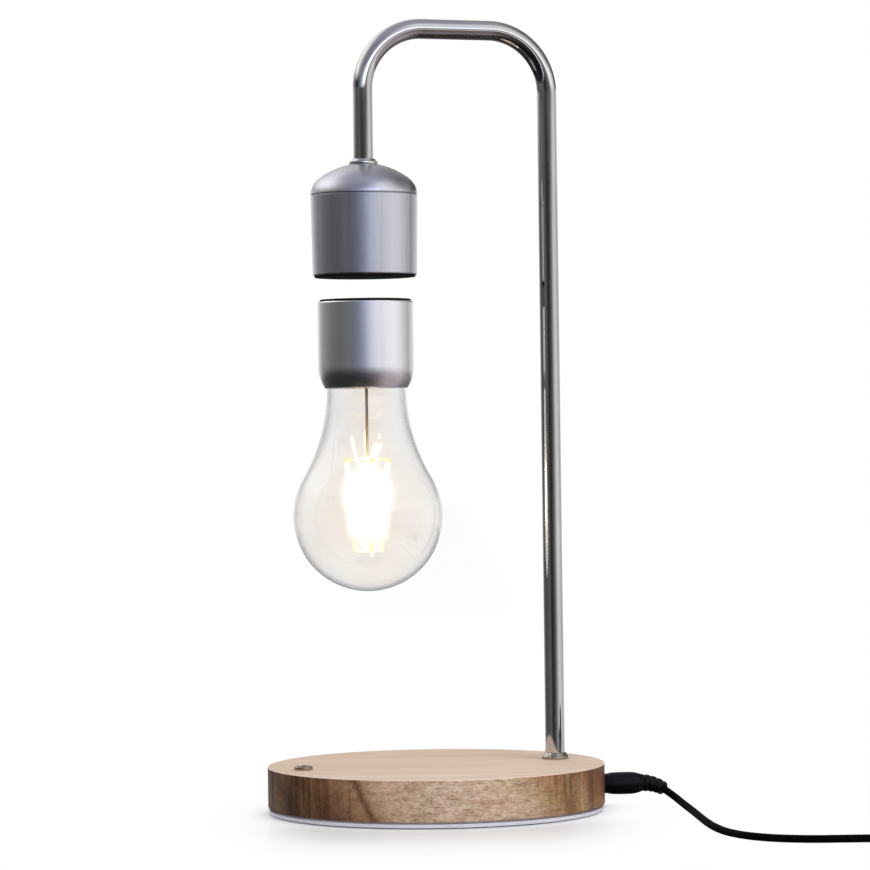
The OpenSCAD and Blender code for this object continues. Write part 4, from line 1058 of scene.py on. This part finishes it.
def makeAdapterBoot(b):
    profile = [(0, 0), (b["startR"], 0)]
    for i in range(b["steps"] + 1):
        share = i / b["steps"]
        wave = 0.5 - 0.5 * math.cos(math.tau * b["ribs"] * share)
        radius = b["startR"] + (b["endR"] - b["startR"]) * share - b["groove"] * wave
        profile.append((radius, b["long"] * share))
    profile.append((0, b["long"]))
    lay = afterCoil @ moved(lead["tail"], 0, coilExit.z) @ rotated(90, "Y")
    return makeTurned("adapterBoot", profile, ("plug", plugRubber, "adapter_boot", "plug_rubber"), b,
                      place=lay, sharp=60)


def makePins(p):
    profile = [(0, p["long"])] + arc(0, p["long"] - p["radius"], p["radius"], 90, 0, 8)[1:]
    profile += [(p["radius"], 0), (0, 0)]
    bm = bmesh.new()
    for side in (-1, 1):
        pin = bmesh.new()
        addTurned(pin, profile, 0, 0, p["sides"])
        placeAll(pin, afterCoil @ moved(adapterEnd, side * p["gap"] / 2, coilExit.z) @ rotated(90, "Y"))
        addPart(bm, pin)
    return makePiece("mainsPins", bm, ("plug", nickel, "mains_pins", "contact_nickel"))


def makeTie(t):
    radius = lead["diameter"] / 2
    inner = coilIn - radius - t["slack"]
    outer = coilOut + radius + t["slack"] / 3
    low = routeEnd.z - radius - t["clear"]
    high = routeEnd.z + lead["pitch"] * (lead["layers"] - 1) + radius + t["clear"]
    corners = ((inner, low), (outer, low), (outer, high), (inner, high))
    bm = bmesh.new()
    verts = [bm.verts.new((x * mm, -t["wide"] / 2 * mm, z * mm)) for x, z in corners]
    for i in range(4):
        bm.edges.new((verts[i], verts[(i + 1) % 4]))
    bevel(bm, verts, t["corner"], 5, "VERTICES")
    growTube(bm, bm.edges[:], (0, t["wide"], 0))
    bmesh.ops.recalc_face_normals(bm, faces=bm.faces[:])
    bmesh.ops.solidify(bm, geom=bm.faces[:], thickness=t["thick"] * mm)
    softenEdges(bm, *t["edge"])
    placeAll(bm, moved(coilMiddle.x, coilMiddle.y, 0) @ Matrix.Rotation(coilHeading + math.pi, 4, "Z"))
    return makePiece("coilTie", bm, ("plug", plugRubber, "coil_tie", "plug_rubber"))


leadPieces = [makeCase(adapter), makeLid(adapter), makeAdapterBoot(adapterBoot), makePins(pins),
              makeTie(tie)]
adapterMiddle = coilExit + (adapterStart + adapter["long"] / 2) * exitWay
print("lead and adapter made")


# pieces that stay as the frame has them
keptFinishes = [
    (boardGreen, ["control_board", "sensor_board", "bulb_board"]),
    (brass, ["board_standoffs"]),
    (screwSteel, ["board_screws", "bezel_nut", "button_spring", "post_washer", "post_nut", "collar_nut",
                  "core_screw"]),
    (partBlack, ["board_parts", "dc_jack", "push_switch", "hall_sensor"]),
    (nylonWhite, ["arm_socket", "coil_bobbin"]),
    (nickel, ["jack_pin", "bulb_magnet"]),
    (cordRubber, ["arm_cable"]),
    (coreIron, ["core_plate", "iron_core"]),
    (copper, ["coil_winding", "transmit_coil", "receive_coil"]),
]
for finish, nodes in keptFinishes:
    for node in nodes:
        mesh = frame["nodes"][node].data
        mesh.materials.clear()
        mesh.materials.append(finish)
print("inner pieces painted")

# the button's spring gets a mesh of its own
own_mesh(frame["nodes"]["button_spring"])


# pale floor: white far off, with the base's shadow and a dull mirror image close by
paleFloor = {"size": 6.0, "matt": 0.92, "shineRough": 0.2}


def makeFloor(p):
    bm = bmesh.new()
    bmesh.ops.create_grid(bm, x_segments=1, y_segments=1, size=p["size"])
    mesh = bpy.data.meshes.new("floor")
    bm.to_mesh(mesh)
    bm.free()
    f = Finish("paleFloor")
    f.tree.nodes.remove(f.shader)
    white = f.add("Emission", {"Color": grey(1.0)}).outputs[0]
    matt = f.add("BsdfDiffuse", {"Color": grey(p["matt"])}).outputs[0]
    shine = f.add("BsdfGlossy", {"Roughness": p["shineRough"]}).outputs[0]

    def distanceFrom(spot):
        return f.vectors("DISTANCE", f.place(), spot)["Value"]

    distance = distanceFrom((0, 0, 0))
    parts = f.parts(f.place(turn=grainTurn))
    nearer = f.math("MULTIPLY", parts["Y"], -1.0)
    closeBy = f.ramp(distance, [(0.0685, 1.0), (0.0705, 0.34), (0.077, 0.1), (0.1, 0.03), (0.2, 0.0)])
    ahead = f.ramp(nearer, [(0.0, 0.05), (0.06, 0.36), (0.095, 0.3), (0.13, 0.16), (0.16, 0.05), (0.2, 0.0)])
    beside = f.ramp(f.math("ABSOLUTE", parts["X"]), [(0.045, 1.0), (0.06, 0.6), (0.075, 0.15), (0.1, 0.0)])
    shade = f.math("MAXIMUM", closeBy, f.math("MULTIPLY", ahead, beside))
    for spot in (coilMiddle, adapterMiddle):
        apart = distanceFrom((spot.x * mm, spot.y * mm, 0))
        shade = f.math("MAXIMUM", shade, f.ramp(apart, [(0.02, 0.55), (0.045, 0.2), (0.07, 0.0)]))
    mirror = f.ramp(distance, [(0.08, 0.4), (0.1, 0.3), (0.13, 0.1), (0.17, 0.0)])
    inFront = f.ramp(nearer, [(0.0, 0.1), (0.06, 1.0)])
    mirrored = f.math("MULTIPLY", mirror, f.math("MULTIPLY", inFront, beside))
    seen = f.mixShaders(mirrored, f.mixShaders(shade, white, matt), shine)
    rays = f.add("LightPath").outputs
    direct = f.math("MAXIMUM", rays["Is Camera Ray"], rays["Is Transmission Ray"])
    f.link(f.mixShaders(direct, matt, seen), f.tree.nodes["Material Output"].inputs["Surface"])
    mesh.materials.append(f.material)
    floor = addObject("floor", mesh)
    floor.visible_glossy = False


makeFloor(paleFloor)


# room: white behind the lamp, a bright window side and darker walls in the metal's reflections;
# each wall goes once round from behind the lamp, with the camera at 0.5 and its right above that
roomWalls = {
    "post": [
        (0.0, 1.1), (0.06, 0.95), (0.14, 0.2), (0.22, 0.1), (0.32, 0.11), (0.385, 0.16), (0.42, 0.08),
        (0.455, 0.033), (0.49, 0.033), (0.55, 0.12), (0.585, 0.25), (0.62, 0.55), (0.655, 0.82), (0.7, 0.92),
        (0.74, 0.85), (0.79, 0.65), (0.85, 0.6), (0.9, 0.75), (0.96, 1.1), (1.0, 1.1)],
    "knee": [
        (0.0, 1.1), (0.1, 0.9), (0.16, 0.6), (0.21, 0.4), (0.25, 0.14), (0.31, 0.1), (0.37, 0.14),
        (0.42, 0.06), (0.5, 0.05), (0.57, 0.08), (0.61, 0.11), (0.64, 0.35), (0.69, 0.85), (0.74, 0.85),
        (0.79, 0.65), (0.85, 0.6), (0.9, 0.75), (0.96, 1.1)],
    "satin": [
        (0.0, 0.3), (0.06, 0.6), (0.13, 0.5), (0.18, 0.32), (0.23, 0.13), (0.28, 0.05), (0.32, 0.02),
        (0.36, (0.12, 0.125, 0.145)), (0.4, (0.16, 0.178, 0.225)), (0.435, (0.31, 0.35, 0.47)),
        (0.47, (0.6, 0.65, 0.93)), (0.505, (1.15, 1.24, 1.65)), (0.54, (2.1, 2.2, 2.65)),
        (0.575, (2.35, 2.42, 2.75)), (0.612, (1.6, 1.63, 1.75)), (0.65, 1.45), (0.7, 1.25), (0.75, 1.0),
        (0.8, 0.48), (0.86, 0.06), (0.93, 0.03), (1.0, 0.3)],
    "high": [
        (0.0, 0.5), (0.06, 0.9), (0.13, 1.35), (0.24, 1.35), (0.285, 0.85), (0.33, 0.48), (0.38, 0.34),
        (0.45, (0.27, 0.27, 0.38)), (0.52, (0.34, 0.34, 0.48)), (0.56, (0.55, 0.56, 0.72)),
        (0.6, (0.95, 0.97, 1.08)), (0.66, 0.95), (0.71, 0.7), (0.76, 0.35), (0.81, 0.18), (0.9, 0.16),
        (0.96, 0.3), (1.0, 0.6)],
    "under": [
        (0.0, 0.12), (0.12, 0.05), (0.22, 0.012), (0.5, 0.012), (0.55, (0.06, 0.05, 0.05)),
        (0.6, (0.14, 0.122, 0.112)), (0.66, (0.4, 0.34, 0.37)), (0.76, (0.5, 0.44, 0.47)),
        (0.84, (0.2, 0.18, 0.2)), (0.92, 0.1), (1.0, 0.12)],
}
roomEnds = {"ceiling": (0.42, 0.42, 0.5, 1.0), "ground": (0.012, 0.01, 0.009, 1.0)}
softLevel = (0.56, 0.56, 0.57, 1.0)  # what lights the matt pieces
wallHeights = [  # which wall takes over, by height from straight down, 0, to straight up, 1
    ("knee", [(0.53, 0.0), (0.548, 1.0)]),
    ("satin", [(0.43, 1.0), (0.45, 0.0), (0.552, 0.0), (0.568, 1.0)]),
    ("high", [(0.62, 0.0), (0.7, 1.0)]),
    ("ceiling", [(0.87, 0.0), (0.96, 1.0)]),
    ("under", [(0.4, 1.0), (0.445, 0.0)]),
    ("ground", [(0.04, 1.0), (0.12, 0.0)]),
]


def makeRoom():
    world = bpy.data.worlds.new("studio")
    scene.world = world
    world.use_nodes = True
    n = Nodes(world.node_tree)
    n.tree.nodes.clear()
    way = n.add("TexCoord").outputs["Generated"]
    turn = (0, 0, math.radians(90 + grainTurn))
    parts = n.parts(n.add("Mapping", {"Vector": way, "Rotation": turn}).outputs["Vector"])
    around = n.share(n.math("ARCTAN2", parts["Y"], parts["X"]), -math.pi, math.pi)
    up = n.share(parts["Z"], -1.0, 1.0)
    walls = {name: n.ramp(around, stops) for name, stops in roomWalls.items()}
    walls.update(roomEnds)
    mirrored = walls["post"]
    for name, heights in wallHeights:
        mirrored = n.mix(n.ramp(up, heights), mirrored, walls[name])
    rays = n.add("LightPath").outputs
    shown = n.mix(rays["Is Glossy Ray"], softLevel, mirrored)
    for kind in ("Is Transmission Ray", "Is Camera Ray"):
        shown = n.mix(rays[kind], shown, grey(1.0))
    background = n.add("Background", {"Color": shown}).outputs[0]
    n.add("OutputWorld", {"Surface": background})


makeRoom()


# glow round the lit rods: a column of soft lights on the bulb's axis that moves with the bulb
rodGlow = {"rows": 6, "lowR": 11.5, "topR": 15.5, "lowInset": 9.0, "topInset": 11.5, "ragged": 300.0,
           "uneven": 0.15, "core": 0.25, "level": 0.42, "colour": (1.0, 0.96, 0.86)}


def makeSoftBall(name, radius, g):
    data = bpy.data.lights.new(name, "POINT")
    data.shadow_soft_size = radius * mm
    data.energy = g["level"] * 4 * (math.pi * radius * mm) ** 2
    data.color = g["colour"]
    data.use_nodes = True
    n = Nodes(data.node_tree)
    place = n.add("TexCoord").outputs["Object"]
    uneven = n.spread(n.noise(place, g["ragged"], 2.0, 0.5), 1 - g["uneven"], 1 + g["uneven"])
    apart = n.math("MULTIPLY", n.vectors("LENGTH", place)["Value"], uneven)
    reach = {"Value": apart, "From Min": g["core"] * radius * mm, "From Max": radius * mm, "To Min": 1.0,
             "To Max": 0.0}
    fade = n.add("MapRange", reach, interpolation_type="SMOOTHERSTEP").outputs["Result"]
    n.link(fade, n.tree.nodes["Emission"].inputs["Strength"])
    return data


def makeGlow(g, f):
    lowest = f["lowZ"] + g["lowInset"]
    highest = f["topZ"] - g["topInset"]
    for k in range(g["rows"]):
        share = k / (g["rows"] - 1)
        radius = g["lowR"] + (g["topR"] - g["lowR"]) * share
        light = addObject("rodGlow", makeSoftBall("rodGlow", radius, g))
        light.location = Vector((bulbX, 0, lowest + (highest - lowest) * share)) * mm
        light.parent = frame["bodies"]["bulb"]
        light.visible_camera = True
        light.visible_glossy = False


makeGlow(rodGlow, filaments)


# soft lamps: a large one over the right front, a fill on the left and one behind
lamps = [
    {"name": "keyLamp", "from": (0.7, -1.0, 1.3), "size": 1.2, "power": 18.0},
    {"name": "fillLamp", "from": (-1.2, -0.7, 0.8), "size": 1.0, "power": 5.0},
    {"name": "backLamp", "from": (0.2, 1.3, 1.0), "size": 1.0, "power": 7.0},
]
lampTarget = Vector((0, 0, 0.1))


def makeLamps():
    for lamp in lamps:
        data = bpy.data.lights.new(lamp["name"], "AREA")
        data.energy = lamp["power"]
        data.size = lamp["size"]
        light = addObject(lamp["name"], data)
        light.location = lamp["from"]
        light.rotation_euler = (lampTarget - Vector(lamp["from"])).to_track_quat("-Z", "Y").to_euler()
        light.visible_glossy = False
        light.visible_transmission = False
        light.visible_camera = False


makeLamps()
print("stage and light made")
